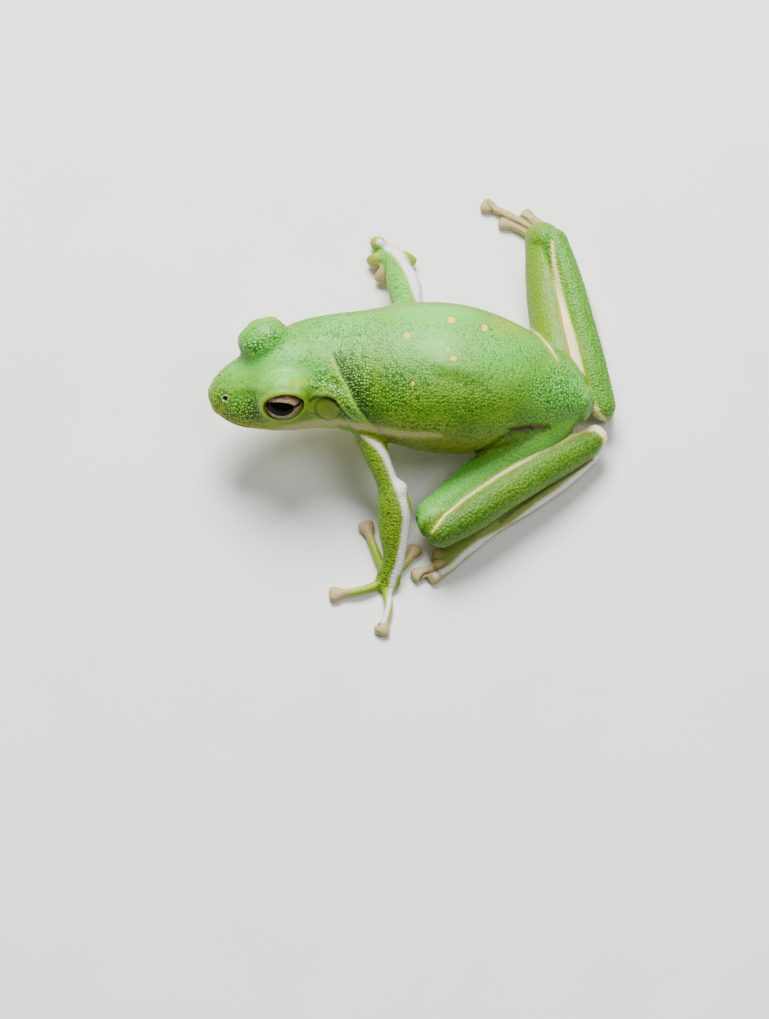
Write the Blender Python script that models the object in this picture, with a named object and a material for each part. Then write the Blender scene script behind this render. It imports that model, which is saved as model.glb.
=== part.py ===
"""A green tree frog at life size, at rest on a flat floor with its hind legs folded.

X is the frog's left, -Y is forward and Z is up. Sizes are in millimetres for a frog of
REFERENCE_LENGTH from snout to vent, and the finished meshes are scaled to metres.
"""

import math

import bmesh
import bpy
import numpy as np
from mathutils import Matrix, Vector

# Driving sizes
SNOUT_VENT = 50.0
REFERENCE_LENGTH = 50.0
METRES_PER_MM = 0.001
GAP = 0.3  # clearance between neighbouring pieces
MERGE = 0.005  # an edge shorter than this is closed up after a cut

# How finely the rounded forms are divided
BODY_SIDES = 36
LIMB_SIDES = 16
TOE_SIDES = 8
BODY_STEP = 1.8
LIMB_STEP = 2.0
TARSUS_STEP = 1.6
TOE_STEP = 1.3
CAP_RINGS = 4
BALL_CUTS = (18, 8)  # segments and rings of a plain ball
LID_CUTS = (24, 12)
EYE_CUTS = (20, 12)
RIM_CUTS = (14, 8)
PIT_CUTS = (12, 8)

# The head's own frame: back from the snout tip, to its left and up
SNOUT_TIP = Vector((0.85, -24.3, 0.0))
HEAD_TURN = math.radians(16.5)
NECK_CUT = 17.2

# Body girths. Head rows run back from the snout.
# Each row: back, half width, top, widest level, bottom, squareness
HEAD_GIRTHS = (
    (0.5, 1.75, 12.3, 10.5, 9.0, 2.0),
    (1.4, 2.85, 13.1, 10.2, 8.3, 1.95),
    (2.7, 3.9, 13.6, 9.9, 7.8, 1.95),
    (5.0, 4.95, 14.1, 9.8, 7.5, 2.05),
    (7.3, 5.85, 14.8, 9.9, 7.1, 2.15),
    (10.0, 6.6, 15.4, 10.2, 6.7, 2.2),
    (13.0, 7.15, 16.0, 10.7, 6.2, 2.2),
)
# Trunk rows run along Y. Each row: along, middle X, half width, top, widest level, bottom, squareness
TRUNK_GIRTHS = (
    (-8.2, -3.25, 7.55, 16.8, 11.1, 5.5, 2.1),
    (-4.4, -3.05, 8.25, 17.7, 11.4, 4.8, 2.05),
    (-0.6, -2.8, 9.2, 18.5, 11.3, 4.1, 2.0),
    (4.0, -2.5, 9.95, 18.9, 10.8, 3.4, 2.0),
    (8.5, -2.35, 9.75, 18.5, 10.2, 3.0, 2.0),
    (13.0, -2.1, 8.6, 17.2, 9.5, 2.8, 2.0),
    (17.5, -1.65, 6.7, 14.6, 8.6, 2.9, 2.0),
    (21.0, -1.0, 4.5, 11.9, 7.8, 3.4, 2.0),
    (23.4, -0.4, 2.4, 9.7, 7.1, 4.4, 2.0),
)
SNOUT_CAP = 0.5
VENT_CAP = 1.3
ROUND = 2.0  # the squareness of a plain oval
BROW = (10.5, -0.4, 12.5)  # the crown between the eyes: back, left and height of its middle
BROW_RADII = (4.5, 6.5, 4.8)  # half width, half length and half height

# Eyes
EYE_BACK = 8.55
EYE_SIDE = 4.0
EYE_HEIGHT = 15.0
EYE_RADIUS = 2.5
EYE_OUT = 0.75  # how far the ball sits out of the middle of the swelling
SOCKET_RADIUS = EYE_RADIUS + GAP
LIDS = (3.6, 3.35, 3.3)  # half length, half height and half depth of the swelling round the eye
EYE_SLANT = math.radians(17)  # the eye looks out and this much upward
HEAD_LEAN = math.radians(12)  # the head leans so that its left eye looks this much higher
EYE_AHEAD = math.radians(10)  # and this much forward
OPENING = (2.7, 2.1, 2.2)  # half length, half height and half depth of the lids' opening
OPENING_OUT = 2.3

# Ear discs, nostrils and mouth
EAR_BACK = 14.1
EAR_SIDE = 6.5
EAR_HEIGHT = 12.8
EAR_RADIUS = 1.65
EAR_RIM = 0.25
EAR_FURROW_DEPTH = 0.5
EAR_DISC_DEPTH = 0.45
EAR_SINK = 0.3  # how far the disc's middle lies under the skin
NOSTRILS = {1: (1.9, 1.4, 12.9), -1: (1.9, -2.35, 12.35)}  # back, left and height on each side
NOSTRIL_PIT = (0.375, 0.3, 0.7)  # half length, half height and half depth
NOSTRIL_PIT_OUT = 0.2
NOSTRIL_RIM = (0.75, 0.65, 0.35)
NOSTRIL_RIM_IN = 0.1
NOSTRIL_LOOK = (-0.25, 0.75, 0.6)  # back, outward and up
LIP_LEVELS = ((-1.0, 10.9), (2.0, 10.1), (6.0, 9.6), (11.0, 9.35), (14.8, 8.9))
LIP_GROOVE = 0.32
LIP_DEPTH = 0.45
LIP_STEP = 1.4
BEYOND = 10.0  # mm, safely outside the head

# Limbs as (x, y, z, half width, half height) from the body outwards
ARM_LEFT = (
    (3.2, -4.6, 10.4, 2.0, 2.1),
    (7.2, -3.25, 9.4, 1.7, 1.85),
    (11.3, -1.5, 7.6, 1.4, 1.6),
    (13.2, -0.8, 6.4, 2.1, 1.9),
    (16.0, -0.8, 4.6, 1.95, 1.7),
    (19.4, -0.9, 2.4, 1.35, 1.15),
    (21.6, -1.6, 0.8, 1.65, 0.9),
)
ARM_RIGHT = (
    (-9.0, -4.2, 10.5, 2.1, 2.2),
    (-11.2, -1.6, 9.2, 1.85, 1.95),
    (-13.9, 0.9, 7.0, 1.75, 1.8),
    (-16.6, 0.8, 5.8, 2.05, 1.9),
    (-19.6, 0.2, 4.3, 2.0, 1.7),
    (-22.7, -0.6, 2.4, 1.4, 1.2),
    (-24.9, -1.6, 0.8, 1.65, 0.9),
)
ELBOW = 2
WRIST = 5

THIGH_LEFT = (
    (-0.2, 21.4, 7.2, 2.5, 2.6),
    (4.1, 16.7, 6.0, 3.2, 3.3),
    (8.9, 10.6, 4.5, 3.0, 3.2),
    (14.0, 4.3, 4.3, 2.3, 2.5),
)
THIGH_RIGHT = (
    (-2.0, 21.6, 6.9, 2.5, 2.6),
    (-9.0, 20.5, 5.4, 3.2, 3.3),
    (-17.0, 19.2, 4.7, 2.9, 3.2),
    (-25.0, 18.3, 5.2, 2.2, 2.4),
)
SHANK_LEFT = (
    (17.1, 5.2, 5.9, 1.9, 2.0),
    (14.9, 8.8, 6.1, 2.15, 2.2),
    (11.6, 12.9, 6.0, 2.3, 2.3),
    (7.8, 18.0, 5.3, 2.35, 2.3),
    (4.2, 23.0, 4.2, 2.0, 1.9),
    (2.8, 24.8, 3.7, 1.75, 1.7),
)
SHANK_RIGHT = (
    (-23.6, 19.9, 7.4, 1.6, 1.7),
    (-19.1, 21.3, 7.2, 1.75, 1.9),
    (-12.2, 23.0, 6.5, 1.95, 2.0),
    (-5.3, 24.7, 5.1, 2.05, 2.0),
    (-1.7, 25.9, 4.0, 1.75, 1.7),
)
TARSUS_LEFT = (
    (3.9, 24.5, 1.6, 1.25, 1.2),
    (7.2, 21.2, 1.5, 1.2, 1.15),
    (10.3, 17.3, 1.45, 1.15, 1.1),
    (14.7, 10.8, 1.3, 1.2, 1.05),
    (17.0, 8.0, 0.9, 1.4, 0.95),
    (18.3, 6.5, 0.7, 1.4, 0.85),
)
TARSUS_RIGHT = (
    (-1.9, 26.3, 1.7, 1.25, 1.2),
    (-8.0, 25.5, 1.45, 1.2, 1.15),
    (-15.2, 24.2, 1.45, 1.15, 1.1),
    (-19.6, 22.9, 1.3, 1.2, 1.05),
    (-23.6, 20.8, 0.9, 1.4, 0.95),
    (-25.6, 19.6, 0.7, 1.4, 0.85),
)
METATARSUS = 4  # the row where the tarsus becomes the sole
KNEES = ((15.4, 4.4, 5.0), (-24.4, 18.6, 6.2))  # left and right
KNEE_RADIUS = 2.15

# Fingers and toes: root, knuckle and tip of each, as x, y and lift off the floor
TOE_LEVEL = 0.55
TOE_RADIUS = 0.55
DISC_HALF_WIDTH = 1.1
DISC_HALF_HEIGHT = 0.62
DISC_LENGTH = 1.7
DISC_FRONT = 0.35  # the widest part of the disc lies this far behind its tip
DISC_NECK = 0.9  # height of the toe where its disc begins, as a share of the toe's
DISC_MIDDLE = (0.92, 0.95)  # width and height halfway along the disc, as shares of its widest
DISC_CAP = 0.45
FINGERS_LEFT = (
    ((20.8, -1.9, 0.0), (17.0, -3.3, 0.3), (13.0, -4.6, 0.0)),
    ((21.6, -2.0, 0.0), (22.8, -4.6, 0.3), (23.4, -9.2, 0.0)),
    ((22.0, -1.9, 0.0), (25.6, -1.5, 0.3), (29.1, -2.6, 0.0)),
    ((21.0, -1.2, 0.0), (19.0, 0.7, 0.3), (16.4, 2.2, 0.0)),
)
FINGERS_RIGHT = (
    ((-23.8, -1.4, 0.3), (-22.2, -2.1, 1.3), (-20.8, -2.4, 0.0)),
    ((-24.5, -1.8, 0.3), (-23.9, -3.0, 1.5), (-23.2, -3.7, 0.0)),
    ((-25.2, -1.7, 0.3), (-26.1, -2.6, 1.5), (-25.9, -3.5, 0.0)),
    ((-24.6, -1.0, 0.3), (-24.3, 0.5, 1.3), (-23.1, 1.6, 0.0)),
)
TOES_LEFT = (
    ((16.6, 8.2, 0.0), (14.9, 7.3, 0.2), (12.9, 6.2, 0.0)),
    ((17.4, 7.3, 0.0), (16.2, 5.8, 0.2), (15.0, 4.1, 0.0)),
    ((18.1, 6.8, 0.0), (18.0, 5.5, 0.2), (17.8, 3.9, 0.0)),
    ((18.6, 6.6, 0.0), (19.7, 4.1, 0.2), (21.0, 1.4, 0.0)),
    ((19.0, 7.0, 0.0), (20.3, 5.6, 0.2), (21.1, 3.5, 0.0)),
)
TOES_RIGHT = (
    ((-24.0, 20.0, 0.0), (-22.2, 19.0, 0.2), (-19.6, 18.9, 0.0)),
    ((-25.0, 19.2, 0.0), (-23.8, 17.7, 0.2), (-21.4, 17.0, 0.0)),
    ((-25.8, 18.8, 0.0), (-28.0, 16.4, 0.2), (-30.0, 12.8, 0.0)),
    ((-26.2, 19.2, 0.0), (-29.4, 15.8, 0.2), (-32.4, 10.5, 0.0)),
    ((-26.4, 19.8, 0.0), (-29.0, 18.4, 0.2), (-30.9, 15.6, 0.0)),
)

# Finishes: base colour, roughness, metallic
SKIN_GREEN = ((0.23, 0.47, 0.07, 1.0), 0.42, 0.0)
SKIN_PALE = ((0.62, 0.56, 0.40, 1.0), 0.45, 0.0)
EYE_BRONZE = ((0.30, 0.22, 0.13, 1.0), 0.12, 0.0)
SMOOTH_ANGLE = math.radians(50)  # sharper folds than this keep their edge


def material(name, finish):
    """A Principled material of one colour, roughness and metallic value."""
    made = bpy.data.materials.new(name)
    made.use_nodes = True
    shader = made.node_tree.nodes["Principled BSDF"]
    for socket, value in zip(("Base Color", "Roughness", "Metallic"), finish):
        shader.inputs[socket].default_value = value
    return made


def smooth_rows(rows, step):
    """The rows of numbers read from one smooth curve, about one step of path apart."""
    rows = np.array(rows, float)
    places = np.concatenate([[0], np.cumsum(np.linalg.norm(np.diff(rows[:, :3], axis=0), axis=1))])
    slopes = np.gradient(rows, places, axis=0)
    found = []
    for low in range(len(rows) - 1):
        length = places[low + 1] - places[low]
        count = max(1, round(length / step))
        for part in range(count):
            t = part / count
            found.append(
                rows[low] * (1 + 2 * t) * (1 - t) ** 2
                + slopes[low] * length * t * (1 - t) ** 2
                + rows[low + 1] * t * t * (3 - 2 * t)
                + slopes[low + 1] * length * t * t * (t - 1)
            )
    found.append(rows[-1])
    return np.array(found)


def mesh_object(name, mesh):
    """A new object from a bmesh, its faces turned outwards."""
    bmesh.ops.recalc_face_normals(mesh, faces=mesh.faces)
    data = bpy.data.meshes.new(name)
    mesh.to_mesh(data)
    mesh.free()
    made = bpy.data.objects.new(name, data)
    bpy.context.collection.objects.link(made)
    return made


def signed_power(value, power):
    return math.copysign(abs(value) ** power, value)


def ring(centre, tangent, sizes, sides, share=1.0, grow=0.0):
    """Points round one section: sizes are half width, above, below and squareness."""
    across = Vector((0, 0, 1)).cross(tangent).normalized()
    upward = tangent.cross(across).normalized()
    half_width, above, below, squareness = sizes
    power = 2.0 / squareness
    points = []
    for number in range(sides):
        angle = 2 * math.pi * number / sides
        height = above if math.sin(angle) > 0 else below
        points.append(
            centre
            + across * (half_width + grow) * share * signed_power(math.cos(angle), power)
            + upward * (height + grow) * share * signed_power(math.sin(angle), power)
        )
    return points


def loft(name, rows, sides, caps, grow=0.0, upright=False):
    """A closed tube through rows of x, y, z, half width, above, below, squareness.

    caps are the lengths of its two rounded ends. An upright tube keeps its sections vertical.
    """
    places = np.array(rows)[:, :3]
    runs = np.gradient(places, axis=0)
    if upright:
        runs[:, 2] = 0
    tangents = [Vector(run).normalized() for run in runs]
    rings = [
        ring(Vector(row[:3]), tangent, row[3:], sides, 1.0, grow)
        for row, tangent in zip(rows, tangents)
    ]

    def cap(row, tangent, way, length):
        found = []
        for number in range(1, CAP_RINGS):
            angle = math.pi / 2 * number / CAP_RINGS
            centre = Vector(row[:3]) + tangent * way * (length + grow) * math.sin(angle)
            found.append(ring(centre, tangent, row[3:], sides, math.cos(angle), grow))
        return found, Vector(row[:3]) + tangent * way * (length + grow)

    first, first_pole = cap(rows[0], tangents[0], -1, caps[0])
    last, last_pole = cap(rows[-1], tangents[-1], 1, caps[1])
    rings = first[::-1] + rings + last
    mesh = bmesh.new()
    circles = [[mesh.verts.new(point) for point in points] for points in rings]
    for one, two in zip(circles, circles[1:]):
        for number in range(sides):
            after = (number + 1) % sides
            mesh.faces.new((one[number], one[after], two[after], two[number]))
    for circle, pole in ((circles[0], first_pole), (circles[-1], last_pole)):
        tip = mesh.verts.new(pole)
        for number in range(sides):
            mesh.faces.new((circle[number], circle[(number + 1) % sides], tip))
    return mesh_object(name, mesh)


def limb(name, rows, grow=0.0, step=LIMB_STEP, sides=LIMB_SIDES):
    """A limb's tube from rows of x, y, z, half width, half height, with round ends."""
    full = smooth_rows([(*row, row[4], ROUND) for row in rows], step)
    return loft(name, full, sides, (full[0][3], full[-1][3]), grow)


def ellipsoid(name, centre, radii, turn, cuts=BALL_CUTS):
    """An ellipsoid whose own axes are the columns of turn."""
    segments, rings = cuts
    mesh = bmesh.new()
    bmesh.ops.create_uvsphere(mesh, u_segments=segments, v_segments=rings, radius=1.0)
    shape = turn.to_4x4() @ Matrix.Diagonal((*radii, 1.0))
    bmesh.ops.transform(mesh, matrix=Matrix.Translation(centre) @ shape, verts=mesh.verts)
    return mesh_object(name, mesh)


def boolean(target, others, operation):
    """Cuts the others from the target or joins them to it, and removes them."""
    for other in others:
        modifier = target.modifiers.new(operation.title(), "BOOLEAN")
        modifier.operation = operation
        modifier.solver = "EXACT"
        modifier.use_self = True
        modifier.object = other
    graph = bpy.context.evaluated_depsgraph_get()
    data = bpy.data.meshes.new_from_object(target.evaluated_get(graph))
    target.modifiers.clear()
    target.data = data
    for other in others:
        bpy.data.objects.remove(other)
    keep_largest(target)


def drop_folds(mesh):
    """Takes out pairs of faces that lie back to back, which a cut can leave."""
    alike = {}
    for face in mesh.faces:
        alike.setdefault(frozenset(face.verts), []).append(face)
    folded = [face for faces in alike.values() if len(faces) > 1 for face in faces]
    bmesh.ops.delete(mesh, geom=folded, context="FACES_ONLY")


def shells_of(mesh):
    """The mesh's faces as sets, each of those that are joined edge to edge."""
    left = set(mesh.faces)
    shells = []
    while left:
        shell = set()
        front = [next(iter(left))]
        while front:
            face = front.pop()
            if face in shell:
                continue
            shell.add(face)
            front.extend(near for edge in face.edges for near in edge.link_faces if near not in shell)
        left -= shell
        shells.append(shell)
    return shells


def held(shell):
    """A measure of the volume a closed shell holds."""
    return sum(face.calc_area() * face.normal.dot(face.calc_center_median()) for face in shell)


def keep_largest(target):
    """Leaves only the closed surface that holds most."""
    mesh = bmesh.new()
    mesh.from_mesh(target.data)
    bmesh.ops.dissolve_degenerate(mesh, edges=mesh.edges, dist=MERGE)
    drop_folds(mesh)
    best = max(shells_of(mesh), key=held)
    spare = [face for face in mesh.faces if face not in best]
    bmesh.ops.delete(mesh, geom=spare, context="FACES")
    bare = [edge for edge in mesh.edges if not edge.link_faces]
    bmesh.ops.delete(mesh, geom=bare, context="EDGES")
    loose = [point for point in mesh.verts if not point.link_faces]
    bmesh.ops.delete(mesh, geom=loose, context="VERTS")
    mesh.to_mesh(target.data)
    mesh.free()


def trim(target, point, outward):
    """Removes what lies beyond a plane and closes the cut with a flat face."""
    mesh = bmesh.new()
    mesh.from_mesh(target.data)
    everything = mesh.verts[:] + mesh.edges[:] + mesh.faces[:]
    found = bmesh.ops.bisect_plane(
        mesh, geom=everything, plane_co=point, plane_no=outward, clear_outer=True
    )
    rim = [part for part in found["geom_cut"] if isinstance(part, bmesh.types.BMEdge)]
    bmesh.ops.edgeloop_fill(mesh, edges=rim)
    bmesh.ops.recalc_face_normals(mesh, faces=mesh.faces)
    mesh.to_mesh(target.data)
    mesh.free()


def copy_of(source, name):
    made = bpy.data.objects.new(name, source.data.copy())
    bpy.context.collection.objects.link(made)
    return made


def head_axes():
    """Unit vectors of the head: back, left and up."""
    back = Vector((-math.sin(HEAD_TURN), math.cos(HEAD_TURN), 0))
    left = Vector((math.cos(HEAD_TURN), math.sin(HEAD_TURN), 0))
    return back, left, Vector((0, 0, 1))


def head_point(back, left, height):
    """A point of the head, given in the head's own frame."""
    along, across, _ = head_axes()
    return SNOUT_TIP + along * back + across * left + Vector((0, 0, height))


def body_rows():
    """Sections of head and trunk from the snout to the vent."""
    rows = []
    for back, half_width, top, widest, bottom, squareness in HEAD_GIRTHS:
        place = head_point(back, 0, widest)
        rows.append((*place, half_width, top - widest, widest - bottom, squareness))
    for along, middle, half_width, top, widest, bottom, squareness in TRUNK_GIRTHS:
        rows.append((middle, along, widest, half_width, top - widest, widest - bottom, squareness))
    return smooth_rows(rows, BODY_STEP)


def body(name, grow=0.0):
    return loft(name, body_rows(), BODY_SIDES, (SNOUT_CAP, VENT_CAP), grow, upright=True)


def facing(look):
    """Axes whose third points the way given and whose second points up its face."""
    along = Vector((0, 0, 1)).cross(look).normalized()
    return Matrix((along, look.cross(along), look)).transposed()


def eye_turn(side):
    """The eye's own axes: along the head, up the eye, and the way it looks."""
    back, left, up = head_axes()
    slant = EYE_SLANT + side * HEAD_LEAN
    look = left * side * math.cos(slant) + up * math.sin(slant)
    return facing((look * math.cos(EYE_AHEAD) - back * math.sin(EYE_AHEAD)).normalized())


def eye_place(side):
    return head_point(EYE_BACK, EYE_SIDE * side, EYE_HEIGHT)


def lip_slab():
    """A thin curved slab at the level of the mouth line, reaching back to its corners."""
    mesh = bmesh.new()
    half = LIP_GROOVE / 2
    corners = []
    for back, _, level in smooth_rows([(back, 0.0, level) for back, level in LIP_LEVELS], LIP_STEP):
        corners.append(
            [
                mesh.verts.new(head_point(back, side * BEYOND, level + lift))
                for side, lift in ((-1, -half), (1, -half), (1, half), (-1, half))
            ]
        )
    for one, two in zip(corners, corners[1:]):
        for number in range(4):
            after = (number + 1) % 4
            mesh.faces.new((one[number], one[after], two[after], two[number]))
    mesh.faces.new(corners[0])
    mesh.faces.new(corners[-1])
    return mesh_object("lip_slab", mesh)


def surface_hit(target, start, direction):
    """Where a line from outside meets the target, and the way its surface faces there."""
    graph = bpy.context.evaluated_depsgraph_get()
    _, place, normal, _ = target.evaluated_get(graph).ray_cast(start, direction)
    return place, normal


def ear_on(head, side):
    """Carves the furrow round an ear disc and leaves the disc standing in it."""
    _, left, _ = head_axes()
    place = head_point(EAR_BACK, EAR_SIDE * side, EAR_HEIGHT)
    centre, look = surface_hit(head, place + left * side * BEYOND, -left * side)
    wide = EAR_RADIUS + EAR_RIM
    furrow = ellipsoid("furrow", centre, (wide, wide, EAR_FURROW_DEPTH), facing(look))
    disc_radii = (EAR_RADIUS, EAR_RADIUS, EAR_DISC_DEPTH)
    disc = ellipsoid("disc", centre - look * EAR_SINK, disc_radii, facing(look))
    boolean(head, [furrow], "DIFFERENCE")
    boolean(head, [disc], "UNION")


def nostril_on(head, side):
    """A small raised rim with a pit in it."""
    back, left, up = head_axes()
    along, outward, upward = NOSTRIL_LOOK
    way = (back * along + left * side * outward + up * upward).normalized()
    centre, look = surface_hit(head, head_point(*NOSTRILS[side]) + way * BEYOND, -way)
    rim = ellipsoid("rim", centre - look * NOSTRIL_RIM_IN, NOSTRIL_RIM, facing(look), RIM_CUTS)
    pit = ellipsoid("pit", centre + look * NOSTRIL_PIT_OUT, NOSTRIL_PIT, facing(look), PIT_CUTS)
    boolean(head, [rim], "UNION")
    boolean(head, [pit], "DIFFERENCE")


def head_and_torso():
    """The body's one form, parted at the neck, with eyes, ears, nostrils and mouth."""
    back, left, up = head_axes()
    cut = head_point(NECK_CUT, 0, 0)
    whole = body("torso")
    head = copy_of(whole, "head")
    trim(head, cut - back * GAP / 2, back)
    trim(whole, cut + back * GAP / 2, -back)
    upright = Matrix((left, back, up)).transposed()
    boolean(head, [ellipsoid("brow", head_point(*BROW), BROW_RADII, upright, LID_CUTS)], "UNION")
    for side in (1, -1):
        lids = ellipsoid("lids", eye_place(side), LIDS, eye_turn(side), LID_CUTS)
        boolean(head, [lids], "UNION")
    eyes = []
    for side, word in ((1, "left"), (-1, "right")):
        turn = eye_turn(side)
        look = turn.col[2]
        ball = eye_place(side) + look * EYE_OUT
        socket = ellipsoid("socket", ball, (SOCKET_RADIUS,) * 3, turn, EYE_CUTS)
        opening = ellipsoid("opening", eye_place(side) + look * OPENING_OUT, OPENING, turn)
        boolean(head, [socket, opening], "DIFFERENCE")
        eyes.append(ellipsoid(f"eye_{word}", ball, (EYE_RADIUS,) * 3, turn, EYE_CUTS))
        ear_on(head, side)
        nostril_on(head, side)
    slab = lip_slab()
    inner = body("inner", -LIP_DEPTH)
    boolean(slab, [inner], "DIFFERENCE")
    boolean(head, [slab], "DIFFERENCE")
    return head, whole, eyes


def path_direction(rows, index):
    """Unit direction of a limb at one of its rows."""
    before = Vector(rows[max(index - 1, 0)][:3])
    after = Vector(rows[min(index + 1, len(rows) - 1)][:3])
    return (after - before).normalized()


def arm(word, rows):
    """Upper arm, forearm and palm of one side, parted with thin plane cuts."""
    whole = limb("arm", rows)
    elbow_place, elbow_way = Vector(rows[ELBOW][:3]), path_direction(rows, ELBOW)
    wrist_place, wrist_way = Vector(rows[WRIST][:3]), path_direction(rows, WRIST)
    upper = copy_of(whole, f"upper_arm_{word}")
    fore = copy_of(whole, f"forearm_{word}")
    palm = copy_of(whole, f"hand_{word}")
    bpy.data.objects.remove(whole)
    trim(upper, elbow_place - elbow_way * GAP / 2, elbow_way)
    trim(fore, elbow_place + elbow_way * GAP / 2, -elbow_way)
    trim(fore, wrist_place - wrist_way * GAP / 2, wrist_way)
    trim(palm, wrist_place + wrist_way * GAP / 2, -wrist_way)
    trim(palm, Vector((0, 0, 0)), Vector((0, 0, -1)))
    boolean(upper, [body("cutter", GAP)], "DIFFERENCE")
    return upper, fore, palm


def toe_rows(points):
    """Rows of a finger or toe from its root to the disc at its tip."""
    path = smooth_rows([(x, y, TOE_LEVEL + lift) for x, y, lift in points], TOE_STEP)
    tip = path[-1]
    back = path[-2] - tip
    back[2] = 0  # the disc lies flat
    back = back / np.linalg.norm(back)
    reach = np.linalg.norm(path - tip, axis=1)
    shaft = [
        (*place, TOE_RADIUS, TOE_RADIUS)
        for place, left in zip(path, reach)
        if left > DISC_LENGTH + TOE_RADIUS
    ]
    wide, high = DISC_MIDDLE
    return shaft + [
        (*(tip + back * DISC_LENGTH), TOE_RADIUS, TOE_RADIUS * DISC_NECK),
        (*(tip + back * DISC_LENGTH / 2), DISC_HALF_WIDTH * wide, DISC_HALF_HEIGHT * high),
        (*(tip + back * DISC_FRONT), DISC_HALF_WIDTH, DISC_HALF_HEIGHT),
    ]


def digit(name, points, grow=0.0):
    """One finger or toe with its disc, resting on a narrow flat."""
    rows = toe_rows(points)
    full = smooth_rows([(*row, row[4], ROUND) for row in rows], TOE_STEP)
    made = loft(name, full, TOE_SIDES, (full[0][3], DISC_CAP), grow)
    if not grow:
        trim(made, Vector((0, 0, 0)), Vector((0, 0, -1)))
    return made


def digits(word, kind, sets, base_rows, step):
    """The fingers or toes of one foot, each starting just clear of the sole and of the others."""
    made = []
    for number, points in enumerate(sets, start=1):
        toe = digit(f"{kind}_{number}_{word}", points)
        boolean(toe, [limb("cutter", base_rows, GAP, step)], "DIFFERENCE")
        for other in sets[: number - 1]:
            boolean(toe, [digit("cutter", other, GAP)], "DIFFERENCE")
        made.append(toe)
    return made


def hind_leg(word, knee, thigh_rows, shank_rows, tarsus_rows, others):
    """Thigh, shank, tarsus and foot of one side, each cut clear of those before it."""
    thigh = limb(f"thigh_{word}", thigh_rows)
    boolean(thigh, [body("cutter", GAP)] + [limb("cutter", rows, GAP) for rows in others], "DIFFERENCE")
    shank = limb(f"shank_{word}", shank_rows)
    boolean(shank, [ellipsoid("knee", Vector(knee), (KNEE_RADIUS,) * 3, Matrix.Identity(3))], "UNION")
    cutters = [body("cutter", GAP), limb("cutter", thigh_rows, GAP)]
    boolean(shank, cutters + [limb("cutter", rows, GAP) for rows in others], "DIFFERENCE")
    whole = limb("whole", tarsus_rows, step=TARSUS_STEP)
    place, way = Vector(tarsus_rows[METATARSUS][:3]), path_direction(tarsus_rows, METATARSUS)
    tarsus = copy_of(whole, f"tarsus_{word}")
    foot = copy_of(whole, f"foot_{word}")
    bpy.data.objects.remove(whole)
    trim(tarsus, place - way * GAP / 2, way)
    trim(foot, place + way * GAP / 2, -way)
    for piece in (tarsus, foot):
        cutters = [limb("cutter", thigh_rows, GAP), limb("cutter", shank_rows, GAP)]
        boolean(piece, cutters + [limb("cutter", rows, GAP) for rows in others], "DIFFERENCE")
        trim(piece, Vector((0, 0, 0)), Vector((0, 0, -1)))
    return thigh, shank, tarsus, foot


def finish(pieces):
    """Scales to metres and sets the origin under the middle of the frog's bounding box."""
    scale = METRES_PER_MM * SNOUT_VENT / REFERENCE_LENGTH
    corners = np.array([point.co for piece in pieces for point in piece.data.vertices])
    low, high = corners.min(axis=0), corners.max(axis=0)
    shift = Vector((-(low[0] + high[0]) / 2, -(low[1] + high[1]) / 2, -low[2]))
    for piece in pieces:
        piece.data.transform(Matrix.Scale(scale, 4) @ Matrix.Translation(shift))
        piece.data.shade_smooth()
        piece.data.set_sharp_from_angle(angle=SMOOTH_ANGLE)


def main():
    for old in list(bpy.data.objects):
        bpy.data.objects.remove(old)
    head, torso, eyes = head_and_torso()
    flesh = [head, torso]
    pale = []
    for word, rows, sets in (("left", ARM_LEFT, FINGERS_LEFT), ("right", ARM_RIGHT, FINGERS_RIGHT)):
        upper, fore, palm = arm(word, rows)
        flesh += [upper, fore, palm]
        pale += digits(word, "finger", sets, rows, LIMB_STEP)
    left = [THIGH_LEFT, SHANK_LEFT, TARSUS_LEFT]
    right = [THIGH_RIGHT, SHANK_RIGHT, TARSUS_RIGHT]
    for word, knee, rows, others, sets in (
        ("left", KNEES[0], left, [], TOES_LEFT),
        ("right", KNEES[1], right, left, TOES_RIGHT),
    ):
        thigh, shank, tarsus, foot = hind_leg(word, knee, *rows, others)
        flesh += [thigh, shank, tarsus, foot]
        pale += digits(word, "toe", sets, rows[2], TARSUS_STEP)
    for pieces, coat in ((flesh, SKIN_GREEN), (pale, SKIN_PALE), (eyes, EYE_BRONZE)):
        for piece in pieces:
            piece.data.materials.clear()
            piece.data.materials.append(material(f"{piece.name}_finish", coat))
    finish(flesh + pale + eyes)


main()
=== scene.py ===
"""Looks of a green tree frog at life size, at rest on a pale floor with its hind legs folded.

Shapes are drawn in millimetres, with the frog's left along X, forward along -Y and Z up, and are
then set on the frame by the middle of its left eye. One skin is made over head, trunk, limbs and
digits, so that no seam shows. The eyes are pieces of their own.
"""

import itertools
import math

import bmesh
import bpy
import numpy as np
from mathutils import Matrix, Vector


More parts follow.
